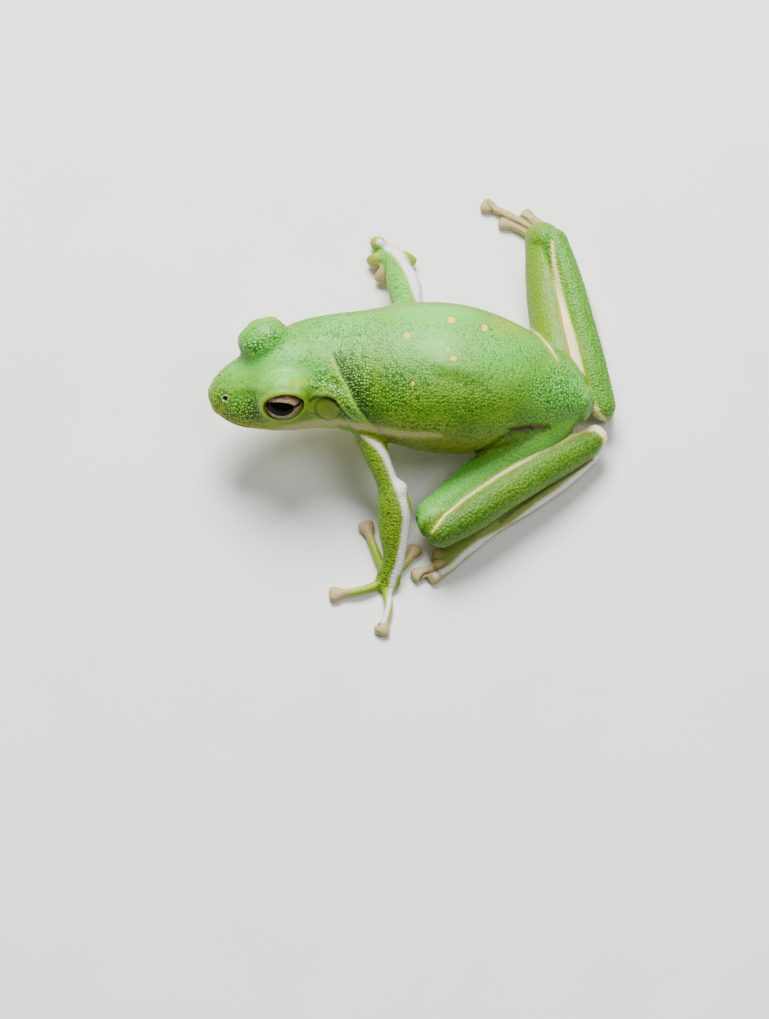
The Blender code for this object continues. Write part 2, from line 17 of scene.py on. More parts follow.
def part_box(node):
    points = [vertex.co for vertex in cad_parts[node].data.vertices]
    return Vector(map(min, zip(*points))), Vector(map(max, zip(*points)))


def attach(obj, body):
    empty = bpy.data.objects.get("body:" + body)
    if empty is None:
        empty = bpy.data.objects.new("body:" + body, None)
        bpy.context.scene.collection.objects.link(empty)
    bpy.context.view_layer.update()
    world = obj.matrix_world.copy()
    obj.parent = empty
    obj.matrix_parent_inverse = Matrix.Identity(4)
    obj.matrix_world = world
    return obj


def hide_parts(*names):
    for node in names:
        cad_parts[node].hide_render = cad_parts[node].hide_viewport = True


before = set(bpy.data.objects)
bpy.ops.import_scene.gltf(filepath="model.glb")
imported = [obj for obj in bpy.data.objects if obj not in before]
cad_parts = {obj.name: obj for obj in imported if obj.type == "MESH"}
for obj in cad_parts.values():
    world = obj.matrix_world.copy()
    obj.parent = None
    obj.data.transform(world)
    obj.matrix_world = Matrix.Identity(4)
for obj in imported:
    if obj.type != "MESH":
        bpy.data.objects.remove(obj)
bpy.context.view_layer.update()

MM = 0.001
FAR = 9.0  # stands for more than any reach

# How fine the skin is
UNION_VOXEL = 0.25
SKIN_VOXEL = 0.1
TUBE_STEP = 0.5
LIMB_SIDES = 40
BODY_SIDES = 96
KNEE_FACETS = (32, 16)
BALL_FACETS = (256, 160)

# The head's own frame: back from the snout tip, to its left and up
SNOUT_TIP = Vector((0.85, -24.3, 0.0))
HEAD_TURN = math.radians(16.5)

# Body girths. Head rows run back from the snout.
# Each row: back, half width, top, widest level, bottom, squareness
HEAD_GIRTHS = (
    (0.5, 1.75, 12.3, 10.5, 9, 2),
    (1.4, 2.85, 13.1, 10.2, 8.3, 1.95),
    (2.7, 3.9, 13.6, 9.9, 7.8, 1.95),
    (5, 4.95, 14.1, 9.8, 7.5, 2.05),
    (7.3, 5.85, 14.8, 9.9, 7.1, 2.15),
    (10, 6.6, 15.4, 10.2, 6.7, 2.2),
    (13, 7.15, 16, 10.7, 6.2, 2.2),
)
# Trunk rows run along Y. Each row: along, middle X, half width, top, widest level, bottom, squareness
TRUNK_GIRTHS = (
    (-8.2, -3.25, 7.55, 16.8, 11.1, 5.5, 2.1),
    (-4.4, -3.05, 8.25, 17.7, 11.4, 4.8, 2.05),
    (-0.6, -2.8, 9.2, 18.5, 11.3, 4.1, 2),
    (4, -2.5, 9.95, 18.9, 10.8, 3.4, 2),
    (8.5, -2.35, 9.75, 18.5, 10.2, 3, 2),
    (13, -2.1, 8.6, 17.2, 9.5, 2.8, 2),
    (17.5, -1.65, 6.7, 14.6, 8.6, 2.9, 2),
    (21, -1, 4.5, 11.9, 7.8, 3.4, 2),
    (23.4, -0.4, 2.4, 9.7, 7.1, 4.4, 2),
)
SNOUT_CAP = 0.5
VENT_CAP = 1.3

# Eyes
EYE_BACK = 8.55
EYE_SIDE = 4.0
EYE_HEIGHT = 15.0
EYE_RADIUS = 2.5
EYE_OUT = 0.75
LIDS = (3.6, 3.35, 3.3)
EYE_SLANT = math.radians(17)
HEAD_LEAN = math.radians(12)
EYE_AHEAD = math.radians(10)
OPENING = (2.7, 2.1, 2.2)
OPENING_OUT = 2.3

# The pupil and its place on the eye's face, in millimetres and as shares of the eye's radius
PUPIL_PLACE = (-0.5, 0.25)
PUPIL_RADII = (0.7, 0.4)

# The mouth line: how far back from the snout tip, and how high
LIP_LEVELS = ((-1.0, 10.9), (2.0, 10.1), (6.0, 9.6), (11.0, 9.35), (14.8, 8.9))

# Limbs as (x, y, z, half width, half height) from the body outwards
ARM_LEFT = (
    (3.2, -4.6, 10.4, 2, 2.1),
    (7.2, -3.25, 9.4, 1.7, 1.85),
    (11.3, -1.5, 7.6, 1.4, 1.6),
    (13.2, -0.8, 6.4, 2.1, 1.9),
    (16, -0.8, 4.6, 1.95, 1.7),
    (19.4, -0.9, 2.4, 1.35, 1.15),
    (21.6, -1.6, 0.8, 1.65, 0.9),
)
ARM_RIGHT = (
    (-9, -4.2, 10.5, 2.1, 2.2),
    (-11.2, -1.6, 9.2, 1.85, 1.95),
    (-13.9, 0.9, 7, 1.75, 1.8),
    (-16.6, 0.8, 5.8, 2.05, 1.9),
    (-19.6, 0.2, 4.3, 2, 1.7),
    (-22.7, -0.6, 2.4, 1.4, 1.2),
    (-24.9, -1.6, 0.8, 1.65, 0.9),
)
THIGH_LEFT = (
    (-0.2, 21.4, 7.2, 2.5, 2.6),
    (4.1, 16.7, 6, 3.2, 3.3),
    (8.9, 10.6, 4.5, 3, 3.2),
    (14, 4.3, 4.3, 2.3, 2.5),
)
THIGH_RIGHT = (
    (-2, 21.6, 6.9, 2.5, 2.6),
    (-9, 20.5, 5.4, 3.2, 3.3),
    (-17, 19.2, 4.7, 2.9, 3.2),
    (-25, 18.3, 5.2, 2.2, 2.4),
)
SHANK_LEFT = (
    (17.1, 5.2, 5.9, 1.9, 2),
    (14.9, 8.8, 6.1, 2.15, 2.2),
    (11.6, 12.9, 6, 2.3, 2.3),
    (7.8, 18, 5.3, 2.35, 2.3),
    (4.2, 23, 4.2, 2, 1.9),
    (2.8, 24.8, 3.7, 1.75, 1.7),
)
SHANK_RIGHT = (
    (-23.6, 19.9, 7.4, 1.6, 1.7),
    (-19.1, 21.3, 7.2, 1.75, 1.9),
    (-12.2, 23, 6.5, 1.95, 2),
    (-5.3, 24.7, 5.1, 2.05, 2),
    (-1.7, 25.9, 4, 1.75, 1.7),
)
TARSUS_LEFT = (
    (3.9, 24.5, 1.6, 1.25, 1.2),
    (7.2, 21.2, 1.5, 1.2, 1.15),
    (10.3, 17.3, 1.45, 1.15, 1.1),
    (14.7, 10.8, 1.3, 1.2, 1.05),
    (17, 8, 0.9, 1.4, 0.95),
    (18.3, 6.5, 0.7, 1.4, 0.85),
)
TARSUS_RIGHT = (
    (-1.9, 26.3, 1.7, 1.25, 1.2),
    (-8, 25.5, 1.45, 1.2, 1.15),
    (-15.2, 24.2, 1.45, 1.15, 1.1),
    (-19.6, 22.9, 1.3, 1.2, 1.05),
    (-23.6, 20.8, 0.9, 1.4, 0.95),
    (-25.6, 19.6, 0.7, 1.4, 0.85),
)

KNEES = ((15.4, 4.4, 5), (-24.4, 18.6, 6.2))  # left and right
KNEE_RADIUS = 2.15

# Fingers and toes: root, knuckle and tip of each, as x, y and lift off the floor
TOE_LEVEL = 0.55
DISC_FRONT = 0.35
FINGERS_LEFT = (
    ((20.8, -1.9, 0), (17, -3.3, 0.3), (13, -4.6, 0)),
    ((21.6, -2, 0), (22.8, -4.6, 0.3), (23.4, -9.2, 0)),
    ((22, -1.9, 0), (25.6, -1.5, 0.3), (29.1, -2.6, 0)),
    ((21, -1.2, 0), (19, 0.7, 0.3), (16.4, 2.2, 0)),
)
FINGERS_RIGHT = (
    ((-23.8, -1.4, 0.3), (-22.2, -2.1, 1.3), (-20.8, -2.4, 0)),
    ((-24.5, -1.8, 0.3), (-23.9, -3, 1.5), (-23.2, -3.7, 0)),
    ((-25.2, -1.7, 0.3), (-26.1, -2.6, 1.5), (-25.9, -3.5, 0)),
    ((-24.6, -1, 0.3), (-24.3, 0.5, 1.3), (-23.1, 1.6, 0)),
)
TOES_LEFT = (
    ((16.6, 8.2, 0), (14.9, 7.3, 0.2), (12.9, 6.2, 0)),
    ((17.4, 7.3, 0), (16.2, 5.8, 0.2), (15, 4.1, 0)),
    ((18.1, 6.8, 0), (18, 5.5, 0.2), (17.8, 3.9, 0)),
    ((18.6, 6.6, 0), (19.7, 4.1, 0.2), (21, 1.4, 0)),
    ((19, 7, 0), (20.3, 5.6, 0.2), (21.1, 3.5, 0)),
)
TOES_RIGHT = (
    ((-24, 20, 0), (-22.2, 19, 0.2), (-19.6, 18.9, 0)),
    ((-25, 19.2, 0), (-23.8, 17.7, 0.2), (-21.4, 17, 0)),
    ((-25.8, 18.8, 0), (-28, 16.4, 0.2), (-30, 12.8, 0)),
    ((-26.2, 19.2, 0), (-29.4, 15.8, 0.2), (-32.4, 10.5, 0)),
    ((-26.4, 19.8, 0), (-29, 18.4, 0.2), (-30.9, 15.6, 0)),
)
# Each row of a digit's form: distance behind its tip, half width, half height
DIGIT_FORM = (
    (0.35, 1.06, 0.60),
    (0.90, 1.10, 0.62),
    (1.45, 0.86, 0.58),
    (2.00, 0.56, 0.52),
    (2.80, 0.52, 0.52),
)
DIGIT_ROOT = 0.62
DIGIT_STEP = 0.25
DIGIT_SIDES = 24
DIGIT_CAP = 0.4
ROOT_BEHIND = 0.5  # least distance from the last row of the form to the root

# Colours of the skin, of the eyes and of the floor
FLANK = (0.1, 0.24, 0.002, 1)
FLANK_SUNNY = (0.15, 0.3, 0.002, 1)
# The back's own pale green, also used as a painted sheen on skin facing up
PALE_BACK_AND_SHEEN = (0.13, 0.52, 0.06, 1)
BELLY = (0.17, 0.2, 0.002, 1)
YELLOW_GREEN = (0.33, 0.43, 0.004, 1)
EAR = (0.16, 0.24, 0.006, 1)
MOTTLE = (0.55, 0.72, 0.4, 1)
# Painted shade for the gaps between grains, and a painted highlight for their tops
GRAIN_GAP_SHADE = (0.2, 0.34, 0.12, 1)
GRAIN_TOP_HIGHLIGHT = (0.4, 0.78, 0.28, 1)
TAN = (0.4, 0.33, 0.12, 1)
TOE_PINK = (0.42, 0.27, 0.15, 1)
UNDER = (0.6, 0.6, 0.3, 1)
CREAM = (0.8, 0.74, 0.38, 1)
# Painted shade on the shanks
LEG_SHADE_GREEN = (0.065, 0.17, 0.0015, 1)
# A darker, yellower copy of the cream, painted shade on the stripes of head and flank
SHADED_CREAM = (0.36, 0.37, 0.13, 1)
# The right thigh's own yellow, also put on the left thigh as painted light
THIGH_YELLOW_AND_LIGHT = (0.14, 0.27, 0.002, 1)
WHITE = (0.76, 0.74, 0.7, 1)
STRIPE_EDGE = (0.5, 0.45, 0.01, 1)
LIP_BROWN = (0.38, 0.22, 0.03, 1)
SPOT_RING = (0.09, 0.13, 0.12, 1)
GOLD = (0.66, 0.58, 0.0, 1)
PURPLE = (0.1, 0.045, 0.035, 1)
# Painted shade in folds, creases and grooves
CREASE_SHADE = (0.25, 0.22, 0.12, 1)
NOSTRIL_PALE = (0.75, 0.72, 0.5, 1)
# Painted shade in the nostril pits
NOSTRIL_PIT_SHADE = (0.03, 0.008, 0.004, 1)
# Painted shade in the gap between the lids and the eyeballs
SOCKET_SHADE = (0.06, 0.07, 0.02, 1)
IRIS_HIGH = (0.1, 0.05, 0.028, 1)
IRIS_LOW = (0.2, 0.19, 0.1, 1)
IRIS_DARK = (0.07, 0.045, 0.025, 1)
IRIS_RING = (0.36, 0.28, 0.15, 1)
IRIS_BAR = (0.02, 0.01, 0.008, 1)
PUPIL = (0.002, 0.002, 0.002, 1)
FLOOR_GREYS = ((0.73, 0.74, 0.72, 1), (0.76, 0.77, 0.75, 1))


def unit(vector):
    return vector / np.linalg.norm(vector)


def smooth_rows(rows, step):
    """The rows of numbers read from one smooth curve, about one step of path apart."""
    rows = np.array(rows, float)
    places = np.concatenate([[0], np.cumsum(np.linalg.norm(np.diff(rows[:, :3], axis=0), axis=1))])
    slopes = np.gradient(rows, places, axis=0)
    found = []
    for low in range(len(rows) - 1):
        length = places[low + 1] - places[low]
        count = max(1, round(length / step))
        for part in range(count):
            t = part / count
            found.append(
                rows[low] * (1 + 2 * t) * (1 - t) ** 2
                + slopes[low] * length * t * (1 - t) ** 2
                + rows[low + 1] * t * t * (3 - 2 * t)
                + slopes[low + 1] * length * t * t * (t - 1)
            )
    found.append(rows[-1])
    return np.array(found)


def ring(centre, tangent, sizes, sides, share=1.0):
    """Points round one section: sizes are half width, above, below and squareness."""
    across = unit(np.cross((0, 0, 1), tangent))
    upward = np.cross(tangent, across)
    half_width, above, below, squareness = sizes
    angle = np.linspace(0, 2 * math.pi, sides, endpoint=False)
    power = 2.0 / squareness
    wide = np.sign(np.cos(angle)) * np.abs(np.cos(angle)) ** power * half_width * share
    high = np.sign(np.sin(angle)) * np.abs(np.sin(angle)) ** power * share
    high *= np.where(high > 0, above, below)
    return centre + wide[:, None] * across + high[:, None] * upward


def tube(rows, sides, caps, upright=False):
    """Points and faces of a closed tube through rows, its ends rounded to the lengths in caps."""
    places = rows[:, :3]
    runs = np.gradient(places, axis=0)
    if upright:
        runs[:, 2] = 0
    tangents = runs / np.linalg.norm(runs, axis=1)[:, None]
    middle = [ring(row[:3], way, row[3:], sides) for row, way in zip(rows, tangents)]
    ends = []
    for number, way in ((0, -1), (-1, 1)):
        row, turn, length = rows[number], tangents[number], caps[number]
        count = max(3, round(length / TUBE_STEP))
        ends.append([
            ring(row[:3] + turn * way * length * math.sin(a), turn, row[3:], sides, math.cos(a))
            for a in math.pi / 2 * np.arange(1, count) / count
        ])
    first = -tangents[0] * caps[0] + rows[0][:3]
    last = tangents[-1] * caps[1] + rows[-1][:3]
    rings = ends[0][::-1] + middle + ends[1]
    points = np.concatenate(rings + [first[None], last[None]])
    faces = []
    for number in range(len(rings) - 1):
        low, high = number * sides, (number + 1) * sides
        for side in range(sides):
            after = (side + 1) % sides
            faces.append((low + side, low + after, high + after, high + side))
    top = (len(rings) - 1) * sides
    for side in range(sides):
        after = (side + 1) % sides
        faces.append((after, side, len(points) - 2))
        faces.append((top + side, top + after, len(points) - 1))
    return points, faces


def limb(rows):
    full = smooth_rows([(*row, row[4], 2.0) for row in rows], TUBE_STEP)
    return tube(full, LIMB_SIDES, (full[0][3], full[-1][3]))


def head_axes():
    """Unit vectors of the head: back, left and up."""
    back = Vector((-math.sin(HEAD_TURN), math.cos(HEAD_TURN), 0))
    left = Vector((math.cos(HEAD_TURN), math.sin(HEAD_TURN), 0))
    return back, left, Vector((0, 0, 1))


def head_point(back, left, height):
    """A point of the head, given in the head's own frame."""
    along, across, _ = head_axes()
    return SNOUT_TIP + along * back + across * left + Vector((0, 0, height))


def body():
    """The one form of head and trunk."""
    rows = []
    for back, half_width, top, widest, bottom, squareness in HEAD_GIRTHS:
        place = head_point(back, 0, widest)
        rows.append((*place, half_width, top - widest, widest - bottom, squareness))
    for along, middle, half_width, top, widest, bottom, squareness in TRUNK_GIRTHS:
        rows.append((middle, along, widest, half_width, top - widest, widest - bottom, squareness))
    return tube(smooth_rows(rows, TUBE_STEP), BODY_SIDES, (SNOUT_CAP, VENT_CAP), upright=True)


def digit_path(points, step):
    """The smooth middle line of a finger or toe."""
    return smooth_rows([(x, y, TOE_LEVEL + lift) for x, y, lift in points], step)


def digit(points):
    """A finger or toe with its disc."""
    path = digit_path(points, DIGIT_STEP)
    behind = np.linalg.norm(path - path[-1], axis=1)
    far, wide, high = np.array(DIGIT_FORM).T
    wide = np.append(wide, DIGIT_ROOT)
    high = np.append(high, DIGIT_ROOT)
    far = np.append(far, max(behind[0], far[-1] + ROOT_BEHIND))
    rows = []
    for place, distance in zip(path, behind):
        if distance < DISC_FRONT:
            continue
        half_width, half_height = np.interp(distance, far, wide), np.interp(distance, far, high)
        rows.append((*place, half_width, half_height, half_height, 2.0))
    return tube(np.array(rows), DIGIT_SIDES, (rows[0][3], DIGIT_CAP))


def facing(look):
    """Axes whose third points the way given and whose second points up its face."""
    along = Vector((0, 0, 1)).cross(look).normalized()
    return Matrix((along, look.cross(along), look)).transposed()


def eye_turn(side):
    """The eye's own axes: along the head, up the eye, and the way it looks."""
    back, left, up = head_axes()
    slant = EYE_SLANT + side * HEAD_LEAN
    look = left * side * math.cos(slant) + up * math.sin(slant)
    return facing((look * math.cos(EYE_AHEAD) - back * math.sin(EYE_AHEAD)).normalized())


def eye_place(side):
    return head_point(EYE_BACK, EYE_SIDE * side, EYE_HEIGHT)


def ball_place(side):
    return eye_place(side) + eye_turn(side).col[2] * EYE_OUT


def in_head(points):
    """How far points lie back from the snout tip, and to the head's left and up."""
    from_tip = points - np.array(SNOUT_TIP)
    return [from_tip @ np.array(way) for way in head_axes()]


def in_eye(points, centre, side):
    """Points in an eye's own axes, measured from a centre."""
    return (points - np.array(centre)) @ np.array(eye_turn(side))


def taken(mesh):
    """Points and faces of a mesh under construction, which is freed."""
    mesh.verts.index_update()
    points = np.array([point.co for point in mesh.verts])
    faces = [tuple(point.index for point in face.verts) for face in mesh.faces]
    mesh.free()
    return points, faces


def ellipsoid(centre, radii, turn, segments=64, rings=32):
    """Points and faces of an ellipsoid whose own axes are the columns of turn."""
    mesh = bmesh.new()
    bmesh.ops.create_uvsphere(mesh, u_segments=segments, v_segments=rings, radius=1.0)
    shape = turn.to_4x4() @ Matrix.Diagonal((*radii, 1.0))
    bmesh.ops.transform(mesh, matrix=Matrix.Translation(centre) @ shape, verts=mesh.verts)
    return taken(mesh)


def mesh_object(name, shapes):
    """One object of several shapes, each given as points and faces."""
    points, faces = [], []
    count = 0
    for some_points, some_faces in shapes:
        points.append(some_points)
        faces += [tuple(index + count for index in face) for face in some_faces]
        count += len(some_points)
    data = bpy.data.meshes.new(name)
    data.from_pydata(np.concatenate(points).tolist(), [], faces)
    data.update()
    made = bpy.data.objects.new(name, data)
    bpy.context.collection.objects.link(made)
    return made


def apply_modifiers(target):
    """Turns the evaluated mesh into the object's own."""
    graph = bpy.context.evaluated_depsgraph_get()
    data = bpy.data.meshes.new_from_object(target.evaluated_get(graph))
    old = target.data
    target.modifiers.clear()
    target.data = data
    bpy.data.meshes.remove(old)


def remesh(target, size):
    """Makes one even closed surface round everything in the object."""
    modifier = target.modifiers.new("Remesh", "REMESH")
    modifier.mode = "VOXEL"
    modifier.voxel_size = size
    apply_modifiers(target)


def carve(target, shapes):
    """Cuts closed shapes out of a closed surface."""
    cutters = mesh_object("cutters", shapes)
    modifier = target.modifiers.new("Carve", "BOOLEAN")
    modifier.operation = "DIFFERENCE"
    modifier.solver = "EXACT"
    modifier.object = cutters
    apply_modifiers(target)
    bpy.data.objects.remove(cutters)


class Surface:
    """The points, edges and normals of a mesh as arrays, for work on its form."""

    def __init__(self, target):
        self.data = target.data
        count = len(self.data.vertices)
        self.points = np.empty(count * 3)
        self.data.vertices.foreach_get("co", self.points)
        self.points = self.points.reshape(-1, 3)
        edges = np.empty(len(self.data.edges) * 2, int)
        self.data.edges.foreach_get("vertices", edges)
        self.edges = edges.reshape(-1, 2)
        self.degree = np.bincount(self.edges.ravel(), minlength=count)

    def normals(self):
        self.write()
        found = np.empty(len(self.points) * 3)
        self.data.vertex_normals.foreach_get("vector", found)
        return found.reshape(-1, 3)

    def write(self):
        self.data.vertices.foreach_set("co", self.points.ravel())
        self.data.update()

    def field(self, name, values):
        """Keeps one number for each point, for the skin's material to read."""
        made = self.data.attributes.new(name, "FLOAT", "POINT")
        made.data.foreach_set("value", np.asarray(values, np.float32))

    def smooth(self, weight, times):
        """Moves each point towards the middle of its neighbours, as far as its weight says."""
        near = np.nonzero(weight > 0.001)[0]
        keep = np.zeros(len(self.points), bool)
        keep[near] = True
        edges = self.edges[keep[self.edges].any(axis=1)]
        one, two = edges.T
        share = (weight * 0.5)[:, None]
        for _ in range(times):
            total = np.empty_like(self.points)
            for axis in range(3):
                total[:, axis] = np.bincount(one, self.points[two, axis], len(self.points))
                total[:, axis] += np.bincount(two, self.points[one, axis], len(self.points))
            middle = total[near] / self.degree[near, None]
            self.points[near] += (middle - self.points[near]) * share[near]


def fall(distance, reach):
    """1 at no distance, falling smoothly to 0 at the reach."""
    t = np.clip(1 - distance / reach, 0, 1)
    return t * t * (3 - 2 * t)


def far_from(points, place):
    return np.linalg.norm(points - np.array(place), axis=1)


# Where the surface is smoothed: place, reach and how often
JUNCTIONS = (
    ((5.5, -4, 9.8), 5, 40), ((-9.5, -3.5, 10.2), 5, 40), ((15.6, 4.9, 5), 3.4, 25),
    ((3.2, 24.6, 2.7), 2.6, 20), ((-24.4, 19.2, 6.2), 3.2, 25), ((-1.8, 26.1, 2.8), 2.6, 20),
    ((21.6, -1.8, 0.7), 2.2, 12), ((-24.9, -1.8, 0.7), 2.2, 12), ((18.2, 7.2, 0.7), 2.2, 10),
    ((-25.6, 19.4, 0.7), 2.2, 10), ((1.5, 19, 7), 4.5, 25), ((-6, 20.5, 6.5), 4.5, 25),
)
# Where lids and skull meet, as shares of their radii, the seam's reach, and how often it's smoothed
LID_SEAM = 1.05
LID_REACH = 0.75
SKULL_SEAM = 1.12
SKULL_REACH = 0.4
LID_SMOOTHING = 160

# The raised skin between the lids: its middle back and aside, its reach and its height, the levels
# over which it sets in, and the shares of the skull's radii over which it ends
BROW_MIDDLE = (9.3, -0.4)
BROW_REACH = (7.4, 6.0)
BROW_LIFT = 2.0
BROW_LEVELS = (11.0, 14.0)
BROW_END = (1.05, 1.3)

# Webs between hind toes: how far along two toes each one starts and ends, and its thickness
WEB_FROM = 0.05
WEB_TO = 0.5
WEB_HALF_THICKNESS = 0.28

# The photograph's scale in pixels for each millimetre, the design's origin in it, and how far the
# camera looks down
PIXELS = 7.8
PHOTO_ORIGIN = (400.0, 431.0)
LOOK_DOWN = math.radians(65)

# The camera: millimetres of lens and sensor, metres across its view, clip distances in metres, and
# the point it looks at in the design
LENS = 500
SENSOR = 36
VIEW_WIDTH = 0.1306
CLIP = (0.1, 20)
CAMERA_AIM = (11.1, -2.0, 0.0)

# The studio, in metres and watts. Each light: name, place, size and power
LIGHTS = (("key", (-0.34, -0.04, 0.48), 0.34, 11.0), ("top", (0.06, 0.2, 0.54), 0.3, 1.5))
SKY = (0.9, 0.95, 1.0, 1)
SKY_STRENGTH = 0.15
FLOOR_HALF = 3.0

# Forms of the head and trunk, as lines on the photograph: across, down and half width in pixels
EAR_RIDGE = ((303, 391, 6), (316, 391, 7.5), (328, 394, 8), (341, 400, 8), (352, 408, 7.5), (369, 421, 6))
EAR_STEP = (
    (311, 401, 0), (316, 397.5, 0), (328, 396.5, 0), (337, 400, 0), (343, 407, 0), (350, 416, 0),
    (357, 422, 0),
)
SHOULDER_CREASE = (
    (333, 355, 0), (338, 366, 0), (343, 377, 0), (350, 388, 0), (355, 399, 0), (362, 411, 0),
    (370, 421, 0),
)
GROIN_CREASE = (
    (508, 431, 0.2), (514, 432, 1.8), (522, 431.5, 2.8), (531, 429.5, 2.5), (540, 428.5, 1.4),
    (547, 429, 0.2),
)
THIGH_FOLD = ((530, 431, 0), (513, 433, 0), (502, 439, 0), (490, 447, 0), (474, 455, 0))
SACRAL_CREASE = ((426, 366, 0), (440, 372, 0), (462, 378, 0), (490, 386, 0))
CANTHUS = ((232, 393, 0), (248, 388, 0), (262, 391, 0))
JOINT_LINES = (
    ((377, 624, 0), (385, 624, 0)), ((489, 199, 0), (493, 209, 0)), ((434, 567, 0), (440, 575, 0)),
)
SHANK_CREASE = ((592, 460, 0), (570, 474, 0), (547, 487, 0), (522, 505, 0), (500, 521, 0))
ELBOW = ((402, 486), (10, 14))
EAR_DISC = ((328.5, 409), (12.6, 10.8))
NOSTRIL = (226, 399)
FAR_NOSTRIL = (1.9, -2.35, 12.35)

# Folds: height, reach and softness in millimetres
EAR_FOLD = (0.7, 2.2, 0.2)
SHOULDER_FOLD = (0.45, 3.2, 0.35)
SACRAL_FOLD = (0.4, 4.5, 1.0)

# Ridges and grooves: height or depth, and reach, in millimetres
EAR_GROOVE = (0.2, 0.5)
SHOULDER_GROOVE = (0.15, 0.35)
GROIN_GROOVE = (0.35, 0.6)
THIGH_GROOVE = (0.3, 0.6)
CANTHUS_RIDGE = (0.12, 1.0)
EAR_DISC_GROOVE = (0.16, 0.18)
NOSTRIL_RIDGE = (0.08, 0.2)
NOSTRIL_PIT = (0.5, 0.36)
MOUTH_GROOVE = (0.34, 0.32)
LIP_RIDGE = (0.12, 0.5)
JOINT_GROOVE = (0.14, 0.3)
LID_RIDGE = (0.1, 0.35)
EAR_RIDGE_HEIGHT = 0.2
EAR_DISC_HEIGHT = 0.04
ELBOW_HEIGHT = 0.6
TOE_GROOVE_DEPTH = 0.22

# Painted shade in folds, creases and grooves: strength, and reach in millimetres
EAR_SHADE = (0.8, 0.45)
SHOULDER_SHADE = (0.62, 3.0)
SHOULDER_LINE_SHADE = (0.8, 0.3)
THIGH_SHADE = (0.6, 0.45)
SACRAL_SHADE = (0.14, 1.8)
EAR_DISC_SHADE = (0.55, 0.12)
MOUTH_SHADE = (0.9, 0.26)
JOINT_SHADE = (0.5, 0.3)
SHANK_SHADE = (0.8, 0.5)
TOE_SHADE = 0.75

# Painted lines, with half widths in pixels
LIP_STRIPE = (
    (268, 429.5, 0.8), (280, 428.5, 1.4), (292, 427.6, 2.2), (305, 426, 3.6), (319, 424.3, 4.7),
    (330, 423.2, 4.3), (337, 423, 3),
)
LIP_BEADS = (
    (341, 422.5, 1.8), (345, 423.5, 2.6), (350, 423.3, 1.6), (354, 424.8, 2.8), (358, 427, 2.4),
    (364, 427.5, 2.6),
)
FLANK_STRIPE = (
    (362, 426.5, 3.2), (375, 429.5, 2.9), (387, 431.5, 2.7), (400, 434, 2.4), (413, 435, 2.2),
    (425, 435, 2.1), (433, 435.5, 1.6), (441, 436, 0.5),
)
WAIST_CREAM = ((530, 327, 0.4), (540, 336, 1.1), (550, 349, 1.1), (557, 361, 0.3))
SHANK_LEFT_STRIPE = (
    (432, 532, 0.5), (438, 524, 0.7), (445, 515, 0.8), (467, 497, 1.2), (498, 476, 1.6),
    (526, 459, 2.2), (551.5, 444.5, 2.8), (570, 435, 3.2), (584, 429, 3.4), (596, 427.5, 3.4),
    (605, 436, 3.2), (607, 448, 3),
)
TARSUS_LEFT_EDGE = (
    (606, 446, 4), (600, 456, 3.2), (588, 467, 2.8), (576, 477, 3.4), (558, 492, 3.4), (540, 504, 3.4),
    (526, 515, 3.4), (512, 526, 3.4), (496, 535, 3.4), (480, 543, 3.6), (466, 553, 3), (452, 566, 2.6),
    (436, 575, 3),
)
SHANK_RIGHT_STRIPE = (
    (552.5, 241, 0.8), (553.5, 252, 1.4), (555, 266, 1.9), (560, 290, 2.8), (567, 323, 4),
    (575, 355, 4.6), (580, 376, 5), (588, 400, 5.2), (596, 416, 6), (604, 427, 7), (611, 431, 6),
)
SHANK_RIGHT_LINE = (
    (551, 243, 0.3), (551.8, 266, 0.6), (556.5, 292, 0.8), (562.5, 325, 0.9), (569.8, 357, 1),
    (575, 378, 1.1), (582, 402, 1.2), (590, 420, 1),
)
TARSUS_RIGHT_EDGE = ((580, 262, 5), (590, 288, 6.5), (598, 310, 6.5), (602, 332, 5), (608, 360, 3))
ARM_LEFT_WHITE = (
    (362, 436, 1), (370, 441, 2.2), (379, 447, 3.3), (386, 457, 3.4), (391, 470, 3), (397, 482, 4.8),
    (401, 493, 4.4), (403.5, 503, 3.2), (407, 520, 4.2), (404, 545, 4.6), (399, 566, 4), (393, 578, 3),
    (391, 592, 2.2), (388, 606, 2.2), (383, 622, 2.4),
)
ARM_RIGHT_WHITE = (
    (379, 240, 3), (388, 245, 4), (397, 251, 4.6), (405, 261, 5), (412, 275, 5), (417, 290, 5),
    (421, 304, 4.4),
)
# Spots: across, down, radii across and down, all in pixels
SPOTS = (
    (450.8, 321, 4.2, 3.6), (406.7, 336.5, 3.2, 3.1), (484, 328.8, 3, 3.4), (452.7, 360, 3.6, 2.3),
    (447.8, 350.6, 1.5, 1.5), (412.4, 384.4, 1.9, 1.9), (254, 354.7, 1.3, 1.2),
)

# Sizes of the skin's grains and of its wrinkles along and across a limb, their mean level from 0 to
# 1, how high they stand, and how strong the wrinkles are on each part
GRAIN = 0.36
FINE_GRAIN = 0.28
WRINKLE = (0.3, 0.52, 0.52)
GRAIN_MEAN = 0.72
GRAIN_HEIGHT = 0.13
WRINKLED = (("thigh_left", 0.6), ("shank_left", 0.85), ("thigh_right", 0.5), ("shank_right", 0.85))

